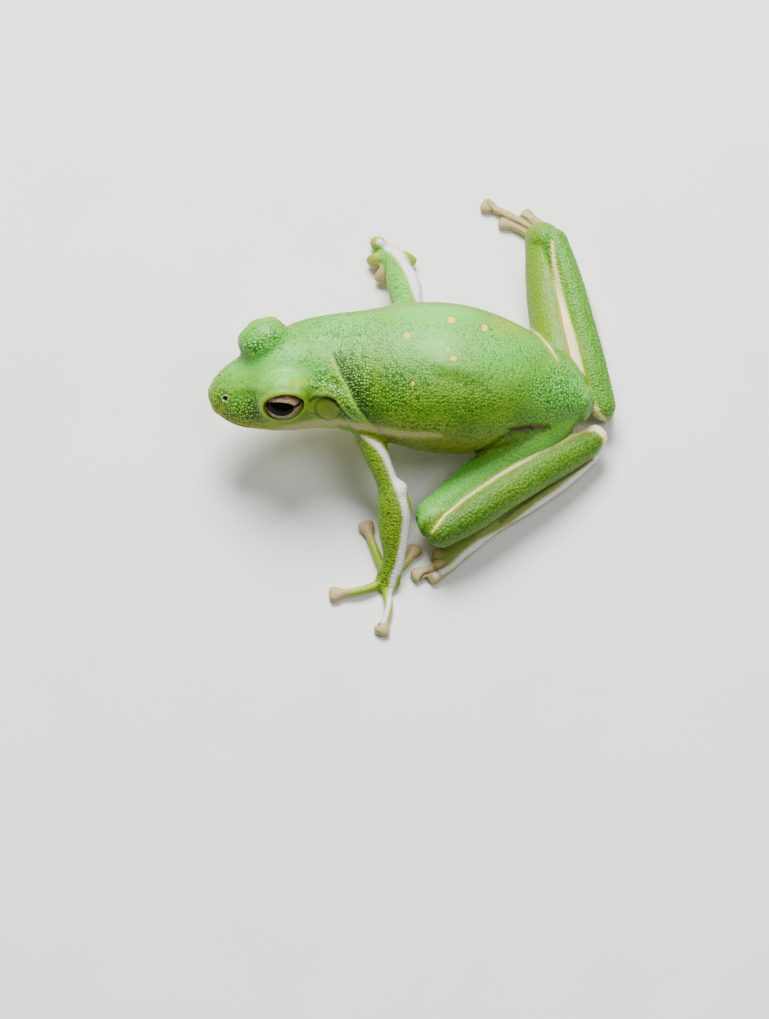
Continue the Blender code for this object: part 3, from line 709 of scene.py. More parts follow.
# Where head and trunk are rough, smooth, pale, olive and yellow: centre and radii on the photograph,
# and how much. They are at least as rough as BASE_ROUGH, and rough places are ROUGH_SPREAD as wide.
BASE_ROUGH = 0.42
ROUGH_SPREAD = 1.35
ROUGH_PLACES = (
    ((318, 381), (22, 20), 0.9), ((250, 410), (40, 19), 1), ((222, 398), (18, 18), 0.8),
    ((256, 347), (15, 10), 1), ((270, 337), (16, 10), 1), ((352, 384), (40, 62), 1),
    ((345, 334), (48, 10), 0.75), ((400, 385), (75, 60), 0.62), ((470, 400), (90, 60), 0.5),
    ((560, 390), (60, 50), 0.72), ((420, 425), (105, 20), 0.55),
)
SMOOTH_PLACES = (
    ((295, 376), (34, 16), 0.9), ((437, 350), (36, 26), 0.6), ((255, 372), (44, 30), 0.45),
    ((440, 312), (90, 20), 0.6),
)
# Pale places are partly the back's own tone and partly painted sheen
PALE_AND_SHEEN_PLACES = (
    ((270, 355), (110, 62), 1), ((245, 404), (44, 22), 0.75), ((285, 374), (60, 26), 1),
    ((345, 330), (90, 60), 1), ((430, 325), (110, 80), 1), ((500, 350), (85, 60), 0.9),
    ((565, 385), (62, 56), 0.95), ((322, 370), (26, 24), 0.8),
)
OLIVE_PLACES = (
    ((440, 450), (110, 30), 1), ((380, 440), (50, 16), 0.9),
)
YELLOW_PLACES = (
    ((214, 414), (26, 26), 1), ((258, 426), (60, 12), 0.9), ((300, 384), (18, 9), 0.7),
    ((520, 325), (56, 18), 0.9), ((400, 425), (60, 16), 0.35), ((240, 414), (46, 24), 0.55),
    ((308, 406), (13, 16), 0.6), ((330, 421), (22, 8), 0.5),
)


def on_photo(points):
    """Where the camera sees points: pixels across and down the photograph."""
    across = PHOTO_ORIGIN[0] + PIXELS * points[:, 1]
    sunk = math.sin(LOOK_DOWN) * points[:, 0] - math.cos(LOOK_DOWN) * points[:, 2]
    return across, PHOTO_ORIGIN[1] + PIXELS * sunk


def ease(value, low, high):
    """0 below low and 1 above high, with a smooth rise between."""
    t = np.clip((value - low) / (high - low), 0, 1)
    return t * t * (3 - 2 * t)


def on_left(points):
    """The points, with those of the frog's right side brought over to its left."""
    aside = np.minimum(in_head(points)[1], 0)
    head = points - 2 * aside[:, None] * np.array(head_axes()[1])
    along, middle = np.array(TRUNK_GIRTHS)[:, :2].T
    trunk = points.copy()
    trunk[:, 0] -= 2 * np.minimum(points[:, 0] - np.interp(points[:, 1], along, middle), 0)
    share = ease(points[:, 1], -12.5, -7.5)[:, None]
    return head * (1 - share) + trunk * share


def stroke(places, line):
    """How far inside a line on the photograph places are, in mm, and on which side of it."""
    across, down = places
    line = np.array(line, float)
    margin = 40
    low, high = line[:, :2].min(axis=0) - margin, line[:, :2].max(axis=0) + margin
    near = np.nonzero((across > low[0]) & (across < high[0]) & (down > low[1]) & (down < high[1]))[0]
    spot = np.stack([across[near], down[near]], axis=1)
    best = np.full(len(near), -float(margin))
    turn = np.zeros(len(near))
    for one, two in zip(line, line[1:]):
        run = two[:2] - one[:2]
        gap = spot - one[:2]
        part = np.clip(gap @ run / (run @ run), 0, 1)
        gap -= part[:, None] * run
        inside = one[2] + part * (two[2] - one[2]) - np.linalg.norm(gap, axis=1)
        better = inside > best
        best[better] = inside[better]
        turn[better] = (run[0] * gap[:, 1] - run[1] * gap[:, 0])[better]
    found = np.full(len(across), -float(margin))
    side = np.zeros(len(across))
    found[near] = best
    side[near] = np.sign(turn)
    return found / PIXELS, side


def beside(places, line):
    """How far outside a line on the photograph places are, in mm."""
    return -stroke(places, line)[0]


def fold(places, line, form):
    """A swelling that ends sharply along a line: highest just right of its run, 0 on its left."""
    height, reach, softness = form
    inside, side = stroke(places, line)
    start, way = np.array(line[0][:2]), np.subtract(line[-1], line[0])[:2]
    part = ((places[0] - start[0]) * way[0] + (places[1] - start[1]) * way[1]) / (way @ way)
    taper = ease(part, 0.0, 0.4) * (1 - ease(part, 0.75, 1.0))
    return height * taper * ease(side * -inside, -softness, softness) * fall(-inside, reach)


def swell(form, gap):
    """A form's amount, its first number, falling to 0 where the gap is its reach, the second."""
    return form[0] * fall(gap, form[1])


def oval(places, centre, radii):
    """How far places are from the middle of an oval on the photograph, with 1 on its rim."""
    return np.hypot((places[0] - centre[0]) / radii[0], (places[1] - centre[1]) / radii[1])


def scattered(cell, salt):
    """A number from 0 to 1 for each cell, the same each time."""
    number = cell @ np.array((374761393, 668265263, 2147483647)) + salt * 1274126177
    number = (number ^ (number >> 13)) * 1274126177
    number = number ^ (number >> 16)
    return (number & 65535) / 65535


def grains(points, turn, sizes):
    """Rounded grains of skin, packed close: 1 on top of each, 0 in the gaps between them."""
    places = (points @ turn) / np.array(sizes)
    base = np.floor(places).astype(np.int64)
    first = np.full(len(points), FAR)
    second = np.full(len(points), FAR)
    for step in itertools.product((-1, 0, 1), repeat=3):
        cell = base + np.array(step)
        seed = cell + 0.5 + 0.8 * (np.stack([scattered(cell, salt) for salt in range(3)], axis=1) - 0.5)
        gap = np.linalg.norm(seed - places, axis=1)
        second = np.minimum(second, np.maximum(first, gap))
        first = np.minimum(first, gap)
    return ease(second - first, 0.0, 0.42)


def nearness(points, rows):
    """Distance from a limb's axis as a share of its half width there."""
    rows = np.array(rows)
    best = np.full(len(points), FAR)
    low, high = rows[:, :3].min(axis=0) - 5, rows[:, :3].max(axis=0) + 5
    near = np.nonzero(((points > low) & (points < high)).all(axis=1))[0]
    some = points[near]
    found = np.full(len(near), FAR)
    for one, two in zip(rows, rows[1:]):
        run = two[:3] - one[:3]
        part = np.clip((some - one[:3]) @ run / (run @ run), 0, 1)
        gap = np.linalg.norm(some - one[:3] - part[:, None] * run, axis=1)
        found = np.minimum(found, gap / (one[3] + part * (two[3] - one[3])))
    best[near] = found
    return best


def body_nearness(points):
    """Distance from the middle of head and trunk as a share of their half width and height."""
    rows = []
    for back, half_width, top, _, bottom, _ in HEAD_GIRTHS:
        place = head_point(back, 0, (top + bottom) / 2)
        rows.append((*place, half_width, (top - bottom) / 2))
    for along, middle, half_width, top, _, bottom, _ in TRUNK_GIRTHS:
        rows.append((middle, along, (top + bottom) / 2, half_width, (top - bottom) / 2))
    rows = np.array(rows)
    best = np.full(len(points), FAR)
    for one, two in zip(rows, rows[1:]):
        run = two[:2] - one[:2]
        part = np.clip((points[:, :2] - one[:2]) @ run / (run @ run), 0, 1)
        here = one + part[:, None] * (two - one)
        aside = np.linalg.norm(points[:, :2] - here[:, :2], axis=1) / here[:, 3]
        above = (points[:, 2] - here[:, 2]) / here[:, 4]
        best = np.minimum(best, np.hypot(aside, above))
    return best


def digit_rows(points):
    return [(x, y, TOE_LEVEL + lift, DIGIT_ROOT) for x, y, lift in points]


def between_digits(points, digits):
    """1 midway between two digits that touch, 0 on either."""
    near = np.sort([nearness(points, digit_rows(digit)) for digit in digits], axis=0)
    return fall(near[1] - near[0], 0.6) * (near[1] < 2.4)


PARTS = {
    "arm_left": [ARM_LEFT],
    "arm_right": [ARM_RIGHT],
    "thigh_left": [THIGH_LEFT],
    "thigh_right": [THIGH_RIGHT],
    "shank_left": [SHANK_LEFT],
    "shank_right": [SHANK_RIGHT],
    "tarsus_left": [TARSUS_LEFT],
    "tarsus_right": [TARSUS_RIGHT],
    "fingers": [digit_rows(points) for points in FINGERS_LEFT + FINGERS_RIGHT],
    "toes": [digit_rows(points) for points in TOES_LEFT + TOES_RIGHT],
}


def part_shares(points):
    """How much each place of the skin belongs to each part of the frog, adding up to 1."""
    found = {"body": np.exp(-8 * body_nearness(points))}
    for name, limbs in PARTS.items():
        found[name] = np.exp(-8 * np.min([nearness(points, rows) for rows in limbs], axis=0))
    total = sum(found.values()) + 1e-9
    return {name: share / total for name, share in found.items()}


def lids(side):
    return ellipsoid(eye_place(side), LIDS, eye_turn(side))


def eye_opening(side):
    turn = eye_turn(side)
    return ellipsoid(eye_place(side) + turn.col[2] * OPENING_OUT, OPENING, turn)


def webs(toes):
    """Thin skin between the roots of neighbouring hind toes."""
    shapes = []
    for pair in zip(toes, toes[1:]):
        mesh = bmesh.new()
        for path in (digit_path(points, TUBE_STEP) for points in pair):
            for share in (WEB_FROM, WEB_TO):
                corner = path[round(share * (len(path) - 1))]
                for lift in (-WEB_HALF_THICKNESS, WEB_HALF_THICKNESS):
                    mesh.verts.new(corner + np.array((0, 0, lift)))
        bmesh.ops.convex_hull(mesh, input=mesh.verts)
        shapes.append(taken(mesh))
    return shapes


def rough_skin():
    """All parts of the frog in one closed surface, smoothed where they join."""
    shapes = [body(), lids(1), lids(-1)]
    for rows in (ARM_LEFT, ARM_RIGHT, THIGH_LEFT, THIGH_RIGHT, SHANK_LEFT, SHANK_RIGHT,
                 TARSUS_LEFT, TARSUS_RIGHT):
        shapes.append(limb(rows))
    for place in KNEES:
        shapes.append(ellipsoid(place, (KNEE_RADIUS,) * 3, Matrix.Identity(3), *KNEE_FACETS))
    for points in FINGERS_LEFT + FINGERS_RIGHT + TOES_LEFT + TOES_RIGHT:
        shapes.append(digit(points))
    shapes += webs(TOES_RIGHT)
    skin = mesh_object("skin", shapes)
    remesh(skin, UNION_VOXEL)
    surface = Surface(skin)
    for place, reach, times in JUNCTIONS:
        surface.smooth(fall(far_from(surface.points, place), reach), times)
    skull = body_nearness(surface.points)
    back, left, _ = in_head(surface.points)
    brow = oval((back, left), BROW_MIDDLE, BROW_REACH)
    rise = BROW_LIFT * fall(brow, 1.0) * ease(surface.points[:, 2], *BROW_LEVELS)
    surface.points[:, 2] += rise * (1 - ease(skull, *BROW_END))
    seam = fall(np.abs(skull - SKULL_SEAM), SKULL_REACH)
    for side in (1, -1):
        lid = np.linalg.norm(in_eye(surface.points, eye_place(side), side) / np.array(LIDS), axis=1)
        surface.smooth(fall(np.abs(lid - LID_SEAM), LID_REACH) * seam, LID_SMOOTHING)
    surface.write()
    carve(skin, [eye_opening(1), eye_opening(-1)])
    remesh(skin, SKIN_VOXEL)
    return skin


def eye_rim(points):
    """How far outside the nearer eye's opening each place is, in mm, on its face."""
    best = np.full(len(points), 99.0)
    for side in (1, -1):
        along, upward, out = in_eye(points, eye_place(side), side).T
        size = np.sqrt(np.maximum(1 - ((np.clip(out, 0.6, 9) - OPENING_OUT) / OPENING[2]) ** 2, 0.2))
        share = np.hypot(along / (OPENING[0] * size), upward / (OPENING[1] * size))
        best = np.minimum(best, np.where(out > 0, (share - 1) * OPENING[1], 99.0))
    return best


def most(places, table):
    """The highest of a table's amounts at places, each falling to 0 at its own oval's rim."""
    return np.max([amount * fall(oval(places, *rest), 1.0) for *rest, amount in table], axis=0)


def skin_fields(places):
    """How rough, pale, olive and yellow head and trunk are at places on the photograph."""
    wide = [(centre, np.array(radii) * ROUGH_SPREAD, amount) for centre, radii, amount in ROUGH_PLACES]
    rough = np.maximum(most(places, wide), BASE_ROUGH)
    for centre, radii, amount in SMOOTH_PLACES:
        rough *= 1 - amount * fall(oval(places, centre, radii), 1.0)
    return [rough] + [most(places, table) for table in (PALE_AND_SHEEN_PLACES, OLIVE_PLACES, YELLOW_PLACES)]


def painted(lines, unseen):
    """How far inside the nearest of some painted lines the skin is, in mm, and at least -1.

    Each line comes with its places and with the share of the parts that it may be on.
    """
    best = -1.0
    for places, line, where in lines:
        best = np.maximum(best, stroke(places, line)[0] - unseen - 2 * (where < 0.35))
    return best


def towards_camera(up, left):
    """How much skin faces the camera, from -1 to 1, by the parts of its normal up and left."""
    return up * math.sin(LOOK_DOWN) + left * math.cos(LOOK_DOWN)


def make_skin():
    """The frog's one skin, in millimetres, with its folds, grains and the fields its looks need."""
    skin = rough_skin()
    surface = Surface(skin)
    rim = eye_rim(surface.points)
    surface.smooth(0.6 * ease(rim, 0.1, 0.7), 3)
    points = surface.points
    share = part_shares(points)
    body_share = share["body"]

    # Places on the photograph, each point's own and those with the right side brought to the left
    own, near = on_photo(points), on_photo(on_left(points))
    across, down = near
    away = surface.normals()
    up = away[:, 2]
    seen = towards_camera(up, away[:, 0])
    flesh = body_share * (1 - (np.abs(own[1] - down) > 0.5) * ease(seen, -0.5, -0.05))
    lift = np.zeros(len(points))
    # Painted shade in folds, creases and grooves, kept at its strongest where several meet
    painted_shade = [np.zeros(len(points))]

    # Folds of head and trunk, with painted shade beside them and painted light on their lit sides
    lift += EAR_RIDGE_HEIGHT * flesh * ease(-beside(near, EAR_RIDGE), -0.55, 0.55)
    step, step_side = stroke(near, EAR_STEP)
    lift += flesh * fold(near, EAR_STEP[::-1], EAR_FOLD)
    lift -= flesh * swell(EAR_GROOVE, -step)
    painted_shade.append(flesh * (1 - ease(across, 344, 356)) * swell(EAR_SHADE, -step))
    crease, crease_side = stroke(near, SHOULDER_CREASE)
    collar = flesh * ease(down, 346, 364)
    lift += flesh * fold(near, SHOULDER_CREASE, SHOULDER_FOLD)
    lift -= collar * swell(SHOULDER_GROOVE, -crease)
    shaded = ease(crease_side * crease, -0.12, 0.12) * swell(SHOULDER_SHADE, -crease)
    painted_shade.append(collar * np.maximum(shaded, swell(SHOULDER_LINE_SHADE, -crease)))
    # Painted light on the lit sides of the shoulder crease and the ear's fold: paler, yellower and with
    # weaker grains
    lit = collar * ease(-crease_side * crease, -0.05, 0.2) * fall(-crease, 1.5)
    lit = np.maximum(lit, flesh * ease(step_side * step, -0.05, 0.2) * fall(-step, 1.2))
    groin = beside(own, GROIN_CREASE)
    lift -= (seen > 0) * swell(GROIN_GROOVE, groin)
    thigh_fold = beside(own, THIGH_FOLD)
    on_front = (seen > -0.3) * (own[1] > 415)
    lift -= on_front * swell(THIGH_GROOVE, thigh_fold)
    painted_shade.append(on_front * swell(THIGH_SHADE, thigh_fold))
    lift += body_share * fold(own, SACRAL_CREASE[::-1], SACRAL_FOLD)
    painted_shade.append(body_share * swell(SACRAL_SHADE, beside(own, SACRAL_CREASE)))
    lift += flesh * swell(CANTHUS_RIDGE, beside(near, CANTHUS))

    # Ear discs
    ear = oval(near, *EAR_DISC)
    ear_side = flesh * ease(points[:, 2], 7.0, 8.5)
    lift += ear_side * EAR_DISC_HEIGHT * ease(-ear, -0.95, -0.7)
    lift -= ear_side * swell(EAR_DISC_GROOVE, np.abs(ear - 1.0))
    painted_shade.append(ear_side * swell(EAR_DISC_SHADE, np.abs(ear - 1.03)))

    # Nostrils
    hole = oval(own, NOSTRIL, (PIXELS, PIXELS)) + FAR * (seen < 0.2)
    hole = np.minimum(hole, far_from(points, head_point(*FAR_NOSTRIL)))
    lift += body_share * (swell(NOSTRIL_RIDGE, np.abs(hole - 0.44)) - swell(NOSTRIL_PIT, hole))

    # Mouth
    along, _, level = in_head(points)
    above_lip = level - np.interp(along, *zip(*LIP_LEVELS))
    mouth_share = body_share * (1 - ease(along, 13.6, 15.2)) * (up < 0.75)
    lift -= mouth_share * swell(MOUTH_GROOVE, np.abs(above_lip))
    lift += mouth_share * swell(LIP_RIDGE, np.abs(above_lip - 0.55))
    painted_shade.append(mouth_share * swell(MOUTH_SHADE, np.abs(above_lip)))

    # Elbow, lines across digits and grooves between toes with painted shade in them, painted shade under
    # the shank, and the lids' rims
    lift += ELBOW_HEIGHT * share["arm_left"] * fall(oval(own, *ELBOW), 1.0)
    for line in JOINT_LINES:
        mark = beside(own, line)
        lift -= swell(JOINT_GROOVE, mark)
        painted_shade.append(swell(JOINT_SHADE, mark))
    for toes in (TOES_LEFT, TOES_RIGHT):
        groove = between_digits(points, toes) * share["toes"]
        lift -= TOE_GROOVE_DEPTH * groove
        painted_shade.append(TOE_SHADE * groove)
    under_shank = swell(SHANK_SHADE, beside(own, SHANK_CREASE))
    painted_shade.append(under_shank * (share["shank_left"] + share["tarsus_left"]))
    lift += swell(LID_RIDGE, np.abs(rim - 0.25))

    # Grains and wrinkles. Places that the camera doesn't see take the looks of the other side.
    hidden = 1 - ease(seen, 0.05, 0.5)
    rough, pale, olive, yellow = (
        one * (1 - hidden) + other * hidden for one, other in zip(skin_fields(own), skin_fields(near))
    )
    rough *= body_share * ease(rim, 0.3, 1.2) * (1 - 0.85 * ease(-ear, -1.1, -0.9) * ear_side)
    rough *= 1 - 0.75 * ease(-up, -0.1, 0.4)
    grain = grains(points, np.identity(3), (GRAIN,) * 3)
    height = rough * grain
    # This level of the grains also paints shade in their gaps and highlights on their tops
    texture = rough * (grain - GRAIN_MEAN) * (1 - 0.8 * lit)
    for name, amount in WRINKLED:
        rows = np.array(PARTS[name][0])
        way = unit(rows[-1, :3] - rows[0, :3])
        cross = unit(np.cross((0, 0, 1), way))
        wrinkle = grains(points, np.stack([way, cross, np.cross(way, cross)], axis=1), WRINKLE)
        strength = amount * share[name] * (1 - 0.6 * ease(-up, 0.0, 0.5))
        height += strength * wrinkle
        texture += 0.45 * strength * (wrinkle - GRAIN_MEAN)
    fine = grains(points + 40.0, np.identity(3), (FINE_GRAIN,) * 3)
    arms = share["arm_left"] + share["arm_right"]
    tarsi = share["tarsus_left"] + share["tarsus_right"]
    ends = share["fingers"] + share["toes"] + tarsi
    height += (0.55 * arms + 0.3 * ends) * fine
    texture += (0.5 * arms + 0.25 * ends) * (fine - GRAIN_MEAN)
    lift += GRAIN_HEIGHT * height

    surface.points += away * lift[:, None]
    surface.points[:, 2] = np.maximum(surface.points[:, 2], 0.0)
    surface.write()

    # Where each colour lies
    # Limbs painted paler, which on the left thigh is painted light
    pale_limbs = 0.9 * share["arm_right"] + 0.45 * share["shank_right"] + share["thigh_left"]
    neck = ease(along, 12.0, 19.0)
    low = ease(-above_lip, -0.1, 0.5) * (1 - neck) + ease(-points[:, 2], -8.5, -6.0) * neck
    # Yellow rims round the eyes, and painted light on the lit sides of the folds
    yellow = body_share * np.max([yellow, 0.9 * fall(np.abs(rim - 0.1), 0.3), 0.4 * lit], axis=0)
    yellow_limbs = 0.3 * share["arm_left"] + 0.1 * share["arm_right"] + 0.7 * share["fingers"]
    tips = [(*points[-1][:2], TOE_LEVEL) for points in FINGERS_LEFT + FINGERS_RIGHT[:1]]
    from_tip = np.min([far_from(surface.points, tip) for tip in tips], axis=0)
    tan = share["fingers"] * (1 - ease(from_tip, 1.6, 4.2)) + 0.9 * share["toes"] + 0.25 * tarsi
    # Painted shade on the shanks, the left one darker towards its knee
    leg_shade = share["shank_left"] * (0.35 + 0.5 * ease(-own[0], -530, -440)) + 0.3 * share["shank_right"]
    shown = towards_camera(up, np.where(body_share > 0.5, np.abs(away[:, 0]), away[:, 0]))
    unseen = 3 * ease(-shown, -0.12, 0.2)
    left_leg = share["shank_left"] + share["tarsus_left"]
    right_leg = share["shank_right"] + share["thigh_right"]
    cream = painted((
        (near, LIP_STRIPE, body_share * (above_lip > 0.1)),
        (near, LIP_BEADS, body_share),
        (near, FLANK_STRIPE, body_share),
        (own, WAIST_CREAM, body_share + share["thigh_right"]),
        (own, SHANK_LEFT_STRIPE, left_leg + 0.3 * share["thigh_left"]),
        (own, SHANK_RIGHT_STRIPE, right_leg + share["tarsus_right"]),
    ), unseen)
    white = painted((
        (own, TARSUS_LEFT_EDGE, left_leg + share["toes"]),
        (own, TARSUS_RIGHT_EDGE, share["tarsus_right"]),
        (own, ARM_LEFT_WHITE, share["arm_left"] + share["fingers"]),
        (own, ARM_RIGHT_WHITE, share["arm_right"] + share["fingers"]),
    ), unseen)
    lip = 0.24 - np.abs(above_lip - 0.3) - 0.4 * ease(along, 6.0, 13.0) - 2 * (mouth_share < 0.3)
    red = stroke(own, SHANK_RIGHT_LINE)[0] - 2 * (right_leg < 0.4)
    gold = np.full(len(points), -1.0)
    ring = np.zeros(len(points))
    for *centre, wide, high in SPOTS:
        far = oval(own, centre, (wide, high))
        gold = np.maximum(gold, (1 - far) * min(wide, high) / PIXELS)
        if wide > 2.5:
            ring = np.maximum(ring, fall(np.abs(far - 1.12) * wide / PIXELS, 0.22))
    gold[(body_share < 0.5) | (seen < 0.1)] = -1
    for name, values in {
        "texture": texture,
        "painted_shade": np.max(painted_shade, axis=0),
        # Paler where the skin faces up: partly the back's own tone, partly painted sheen, with painted
        # light beside the folds
        "pale": (body_share * np.maximum(pale, 0.7 * lit) + pale_limbs) * ease(up, -0.1, 0.5),
        "under": ease(-up, 0.1, 0.75) * (1 - body_share * (1 - low)),
        "olive": body_share * olive,
        "yellow": np.maximum(yellow, yellow_limbs),
        "leg_shade": leg_shade,
        # The right thigh's yellow, and painted light on the left thigh where it faces the camera
        "thigh": share["thigh_right"] + 0.2 * share["thigh_left"] * ease(seen, 0.2, 0.8),
        "tan": np.clip(tan, 0, 1),
        "cream": cream,
        # Where the cream of the lip and flank stripes is painted darker, as painted shade
        "cream_shade": body_share * ease(-across, -470, -440),
        "white": white,
        "brown": np.maximum(np.maximum(lip, red), -1),
        "spot_ring": 0.7 * ring * (gold > -1),
        "gold": gold,
        "purple": ease(-groin, -0.2, 0.15) * (seen > -0.2),
        # Painted shade in the nostril pits
        "nostril": ease(-hole, -0.34, -0.2) * body_share,
        "nostril_rim": 0.28 * fall(np.abs(hole - 0.42), 0.13) * body_share,
        "ear": ear_side * ease(-ear, -1.0, -0.85),
        # Painted shade just inside the eye openings, where the lids meet the eyeballs
        "socket": ease(-rim, -0.02, 0.12),
    }.items():
        surface.field(name, values)
    return skin


class Nodes:
    """A new node material, with short ways to add and join its nodes."""

    def __init__(self, name):
        self.made = bpy.data.materials.new(name)
        self.made.use_nodes = True
        self.tree = self.made.node_tree

    def new(self, kind):
        return self.tree.nodes.new("ShaderNode" + kind)

    def give(self, socket, value):
        """Sets a socket to a value, or joins it to another node's output."""
        if isinstance(value, bpy.types.NodeSocket):
            self.tree.links.new(value, socket)
        else:
            socket.default_value = value

    def shaded(self, inputs):
        """The finished material, with its shader's sockets set or joined as named."""
        for name, value in inputs.items():
            self.give(self.tree.nodes["Principled BSDF"].inputs[name], value)
        return self.made

    def field(self, name):
        node = self.new("Attribute")
        node.attribute_name = name
        return node.outputs["Fac"]

    def maths(self, kind, one, two=0.0):
        node = self.new("Math")
        node.operation = kind
        self.give(node.inputs[0], one)
        self.give(node.inputs[1], two)
        return node.outputs[0]

    def step(self, value, low, high, start=0.0, end=1.0):
        """A smooth change from start to end while the value goes from low to high."""
        node = self.new("MapRange")
        node.interpolation_type = "SMOOTHSTEP"
        self.give(node.inputs["Value"], value)
        for name, amount in (("From Min", low), ("From Max", high), ("To Min", start), ("To Max", end)):
            node.inputs[name].default_value = amount
        return node.outputs[0]

    def mix(self, share, one, two, kind="MIX"):
        node = self.new("Mix")
        node.data_type = "RGBA"
        node.blend_type = kind
        for socket, value in ((0, share), (6, one), (7, two)):
            self.give(node.inputs[socket], value)
        return node.outputs[2]

    def noise(self, size, detail=2.0):
        """Soft noise with lumps of about the size given in metres, round 0.5."""
        node = self.new("TexNoise")
        node.inputs["Scale"].default_value = 1 / size
        node.inputs["Detail"].default_value = detail
        self.give(node.inputs["Vector"], self.new("TexCoord").outputs["Object"])
        return node.outputs["Fac"]


def skin_material():
    look = Nodes("frog_skin")
    texture = look.field("texture")
    speck = look.noise(0.00025)
    colour = look.mix(look.step(look.noise(0.004, 3.0), 0.35, 0.65), FLANK, FLANK_SUNNY)
    # The pale back among these is partly painted sheen on skin facing up
    for name, paint in (
        ("pale", PALE_BACK_AND_SHEEN), ("olive", BELLY), ("yellow", YELLOW_GREEN), ("ear", EAR),
        # The thigh's yellow is partly painted light on the left thigh, and the leg's green is painted
        # shade
        ("thigh", THIGH_YELLOW_AND_LIGHT), ("leg_shade", LEG_SHADE_GREEN),
    ):
        colour = look.mix(look.field(name), colour, paint)
    mottle = look.step(look.noise(0.0005, 1.0), 0.5, 0.36, 0.0, 0.35)
    colour = look.mix(mottle, colour, MOTTLE, "MULTIPLY")
    # Painted shade in the gaps between grains and wrinkles, and painted highlights on their tops
    colour = look.mix(look.step(texture, -0.06, -0.38), colour, GRAIN_GAP_SHADE, "MULTIPLY")
    colour = look.mix(look.step(texture, 0.08, 0.28, 0.0, 0.42), colour, GRAIN_TOP_HIGHLIGHT)
    tan = look.mix(look.step(look.noise(0.0012), 0.4, 0.62), TAN, TOE_PINK)
    colour = look.mix(look.field("tan"), colour, tan)
    colour = look.mix(look.field("under"), colour, UNDER)
    ragged = look.maths("MULTIPLY", look.maths("SUBTRACT", speck, 0.5), 0.22)
    # The stripes' cream, with a darker copy as painted shade towards the head
    cream = look.mix(look.field("cream_shade"), CREAM, SHADED_CREAM)
    for name, paint, low, high, halo in (
        ("cream", cream, -0.1, 0.12, 0.35),
        ("white", WHITE, -0.22, 0.3, 0.2),
        ("brown", LIP_BROWN, -0.05, 0.08, 0.0),
    ):
        edge = look.maths("ADD", look.field(name), ragged)
        if halo:
            colour = look.mix(look.step(edge, -0.45, -0.05, 0.0, halo), colour, STRIPE_EDGE)
        colour = look.mix(look.step(edge, low, high), colour, paint)
    colour = look.mix(look.field("spot_ring"), colour, SPOT_RING)
    colour = look.mix(look.step(look.field("gold"), -0.05, 0.02), colour, GOLD)
    colour = look.mix(look.field("purple"), colour, PURPLE)
    # Painted shade in folds, creases, grooves, between toes and under the shank
    colour = look.mix(look.field("painted_shade"), colour, CREASE_SHADE, "MULTIPLY")
    # The nostrils' pale rims, painted shade in the nostril pits, and painted shade where the lids meet
    # the eyeballs
    for name, paint in (("nostril_rim", NOSTRIL_PALE), ("nostril", NOSTRIL_PIT_SHADE), ("socket", SOCKET_SHADE)):
        colour = look.mix(look.field(name), colour, paint)
    bump = look.new("Bump")
    for name, value in (("Strength", 0.25), ("Distance", 0.00006), ("Height", speck)):
        look.give(bump.inputs[name], value)
    return look.shaded({
        "Base Color": colour,
        "Roughness": look.step(look.maths("ADD", texture, speck), 0.2, 1.0, 0.5, 0.34),
        "Specular IOR Level": 0.3,
        "Normal": bump.outputs["Normal"],
    })


def make_eyeball(side, word):
    """An eye with fields for the places on its face, in its own axes."""
    shape = ellipsoid(ball_place(side), (EYE_RADIUS,) * 3, eye_turn(side), *BALL_FACETS)
    ball = mesh_object(f"eyeball_{word}", [shape])
    surface = Surface(ball)
    across, upward, out = in_eye(surface.points, ball_place(side), side).T
    front = out > 0
    surface.field("aside", np.where(front, (across * side - PUPIL_PLACE[0]) / EYE_RADIUS, FAR))
    surface.field("upward", np.where(front, (upward - PUPIL_PLACE[1]) / EYE_RADIUS, FAR))
    return ball


def eye_material():
    look = Nodes("frog_eye")
    aside, upward = look.field("aside"), look.field("upward")
    shares = [look.maths("DIVIDE", way, size) for way, size in zip((aside, upward), PUPIL_RADII)]
    far = look.maths("SQRT", look.maths("ADD", *(look.maths("MULTIPLY", part, part) for part in shares)))
    fleck = look.noise(0.00022, 4.0)
    colour = look.mix(look.step(upward, -0.05, 0.25), IRIS_LOW, IRIS_HIGH)
    colour = look.mix(look.step(fleck, 0.42, 0.6, 0.0, 0.75), colour, IRIS_DARK)
    ring = look.maths("MULTIPLY", look.step(far, 1.55, 1.15), look.step(fleck, 0.62, 0.4, 0.35, 1.0))
    colour = look.mix(ring, colour, IRIS_RING)
    off_bar = look.maths("ABSOLUTE", look.maths("SUBTRACT", upward, 0.04))
    bar = look.maths("MULTIPLY", look.step(off_bar, 0.14, 0.05), look.step(aside, 0.55, 0.68))
    colour = look.mix(bar, colour, IRIS_BAR)
    return look.shaded({
        "Base Color": look.mix(look.step(far, 1.05, 0.98), colour, PUPIL),
        "Roughness": 0.3,
        "Specular IOR Level": 0.0,
        "Coat Weight": 0.15,
        "Coat Roughness": 0.03,
    })


def shift():
    """The way from the design, drawn in millimetres, to the frame, in metres."""
    low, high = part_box("eye_left")
    return (low + high) / 2 - ball_place(1) * MM


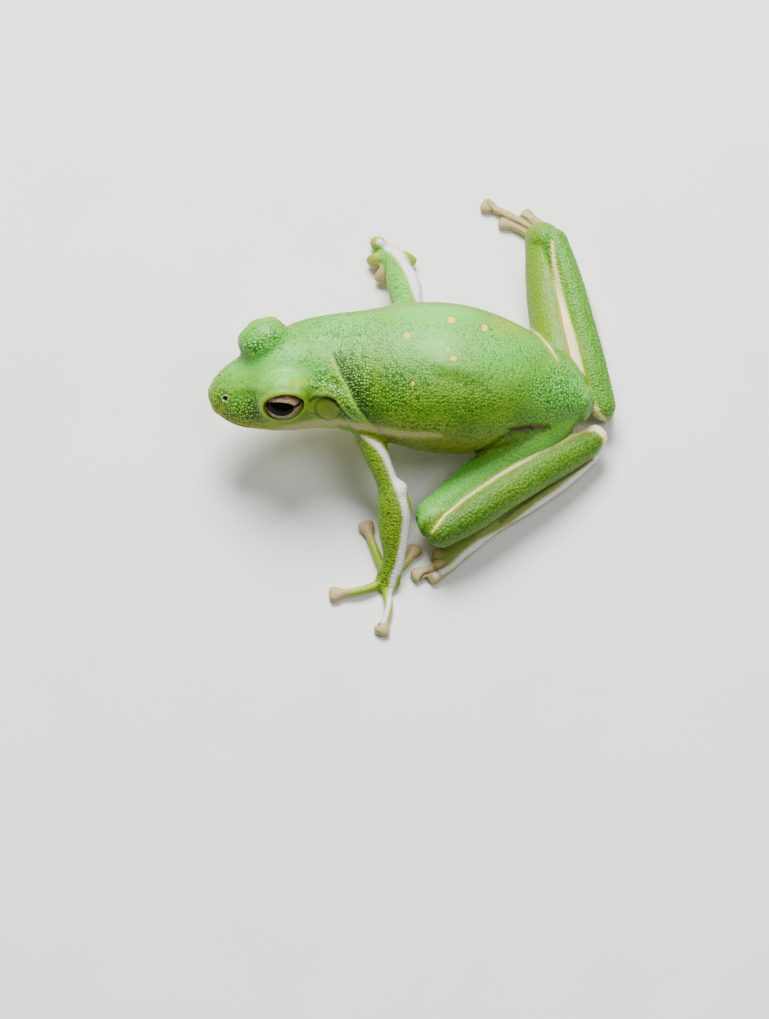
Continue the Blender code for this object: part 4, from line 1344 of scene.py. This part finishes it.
def on_frame(target):
    """Sets a shape drawn in millimetres on the frame, in metres."""
    target.data.transform(Matrix.Translation(shift()) @ Matrix.Scale(MM, 4))
    target.data.shade_smooth()
    return target


def aimed(name, data, place, way):
    """A new camera or light at a place, looking along a way."""
    made = bpy.data.objects.new(name, data)
    made.location = place
    made.rotation_mode = "QUATERNION"
    made.rotation_quaternion = way.to_track_quat("-Z", "Y")
    bpy.context.scene.collection.objects.link(made)
    return made


def make_camera():
    """Looks down on the frog's left side as the photograph does, through a long lens."""
    back = Vector((math.cos(LOOK_DOWN), 0, math.sin(LOOK_DOWN)))
    data = bpy.data.cameras.new("camera")
    data.lens, data.sensor_width = LENS, SENSOR
    data.clip_start, data.clip_end = CLIP
    place = Vector(CAMERA_AIM) * MM + shift() + back * (VIEW_WIDTH * LENS / SENSOR)
    bpy.context.scene.camera = aimed("camera", data, place, -back)


def make_floor():
    corners = FLOOR_HALF * np.array([(-1, -1, 0), (1, -1, 0), (1, 1, 0), (-1, 1, 0)])
    floor = mesh_object("floor", [(corners, [(0, 1, 2, 3)])])
    look = Nodes("floor")
    grey = look.mix(look.step(look.noise(0.02), 0.3, 0.7), *FLOOR_GREYS)
    floor.data.materials.append(look.shaded({"Base Color": grey, "Roughness": 0.7}))


def make_lights():
    for name, place, size, power in LIGHTS:
        data = bpy.data.lights.new(name, "AREA")
        data.shape = "DISK"
        data.size = size
        data.energy = power
        aimed(name, data, place, -Vector(place))
    world = bpy.data.worlds.new("studio")
    world.use_nodes = True
    inputs = world.node_tree.nodes["Background"].inputs
    inputs["Color"].default_value = SKY
    inputs["Strength"].default_value = SKY_STRENGTH
    bpy.context.scene.world = world


skin = on_frame(make_skin())
skin.data.materials.append(skin_material())
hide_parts(*[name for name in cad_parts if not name.startswith("eye_")])
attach(skin, "root")
for side, word in ((1, "left"), (-1, "right")):
    ball = on_frame(make_eyeball(side, word))
    ball.data.materials.append(eye_material())
    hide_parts(f"eye_{word}")
    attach(ball, "root")
make_floor()
make_lights()
make_camera()
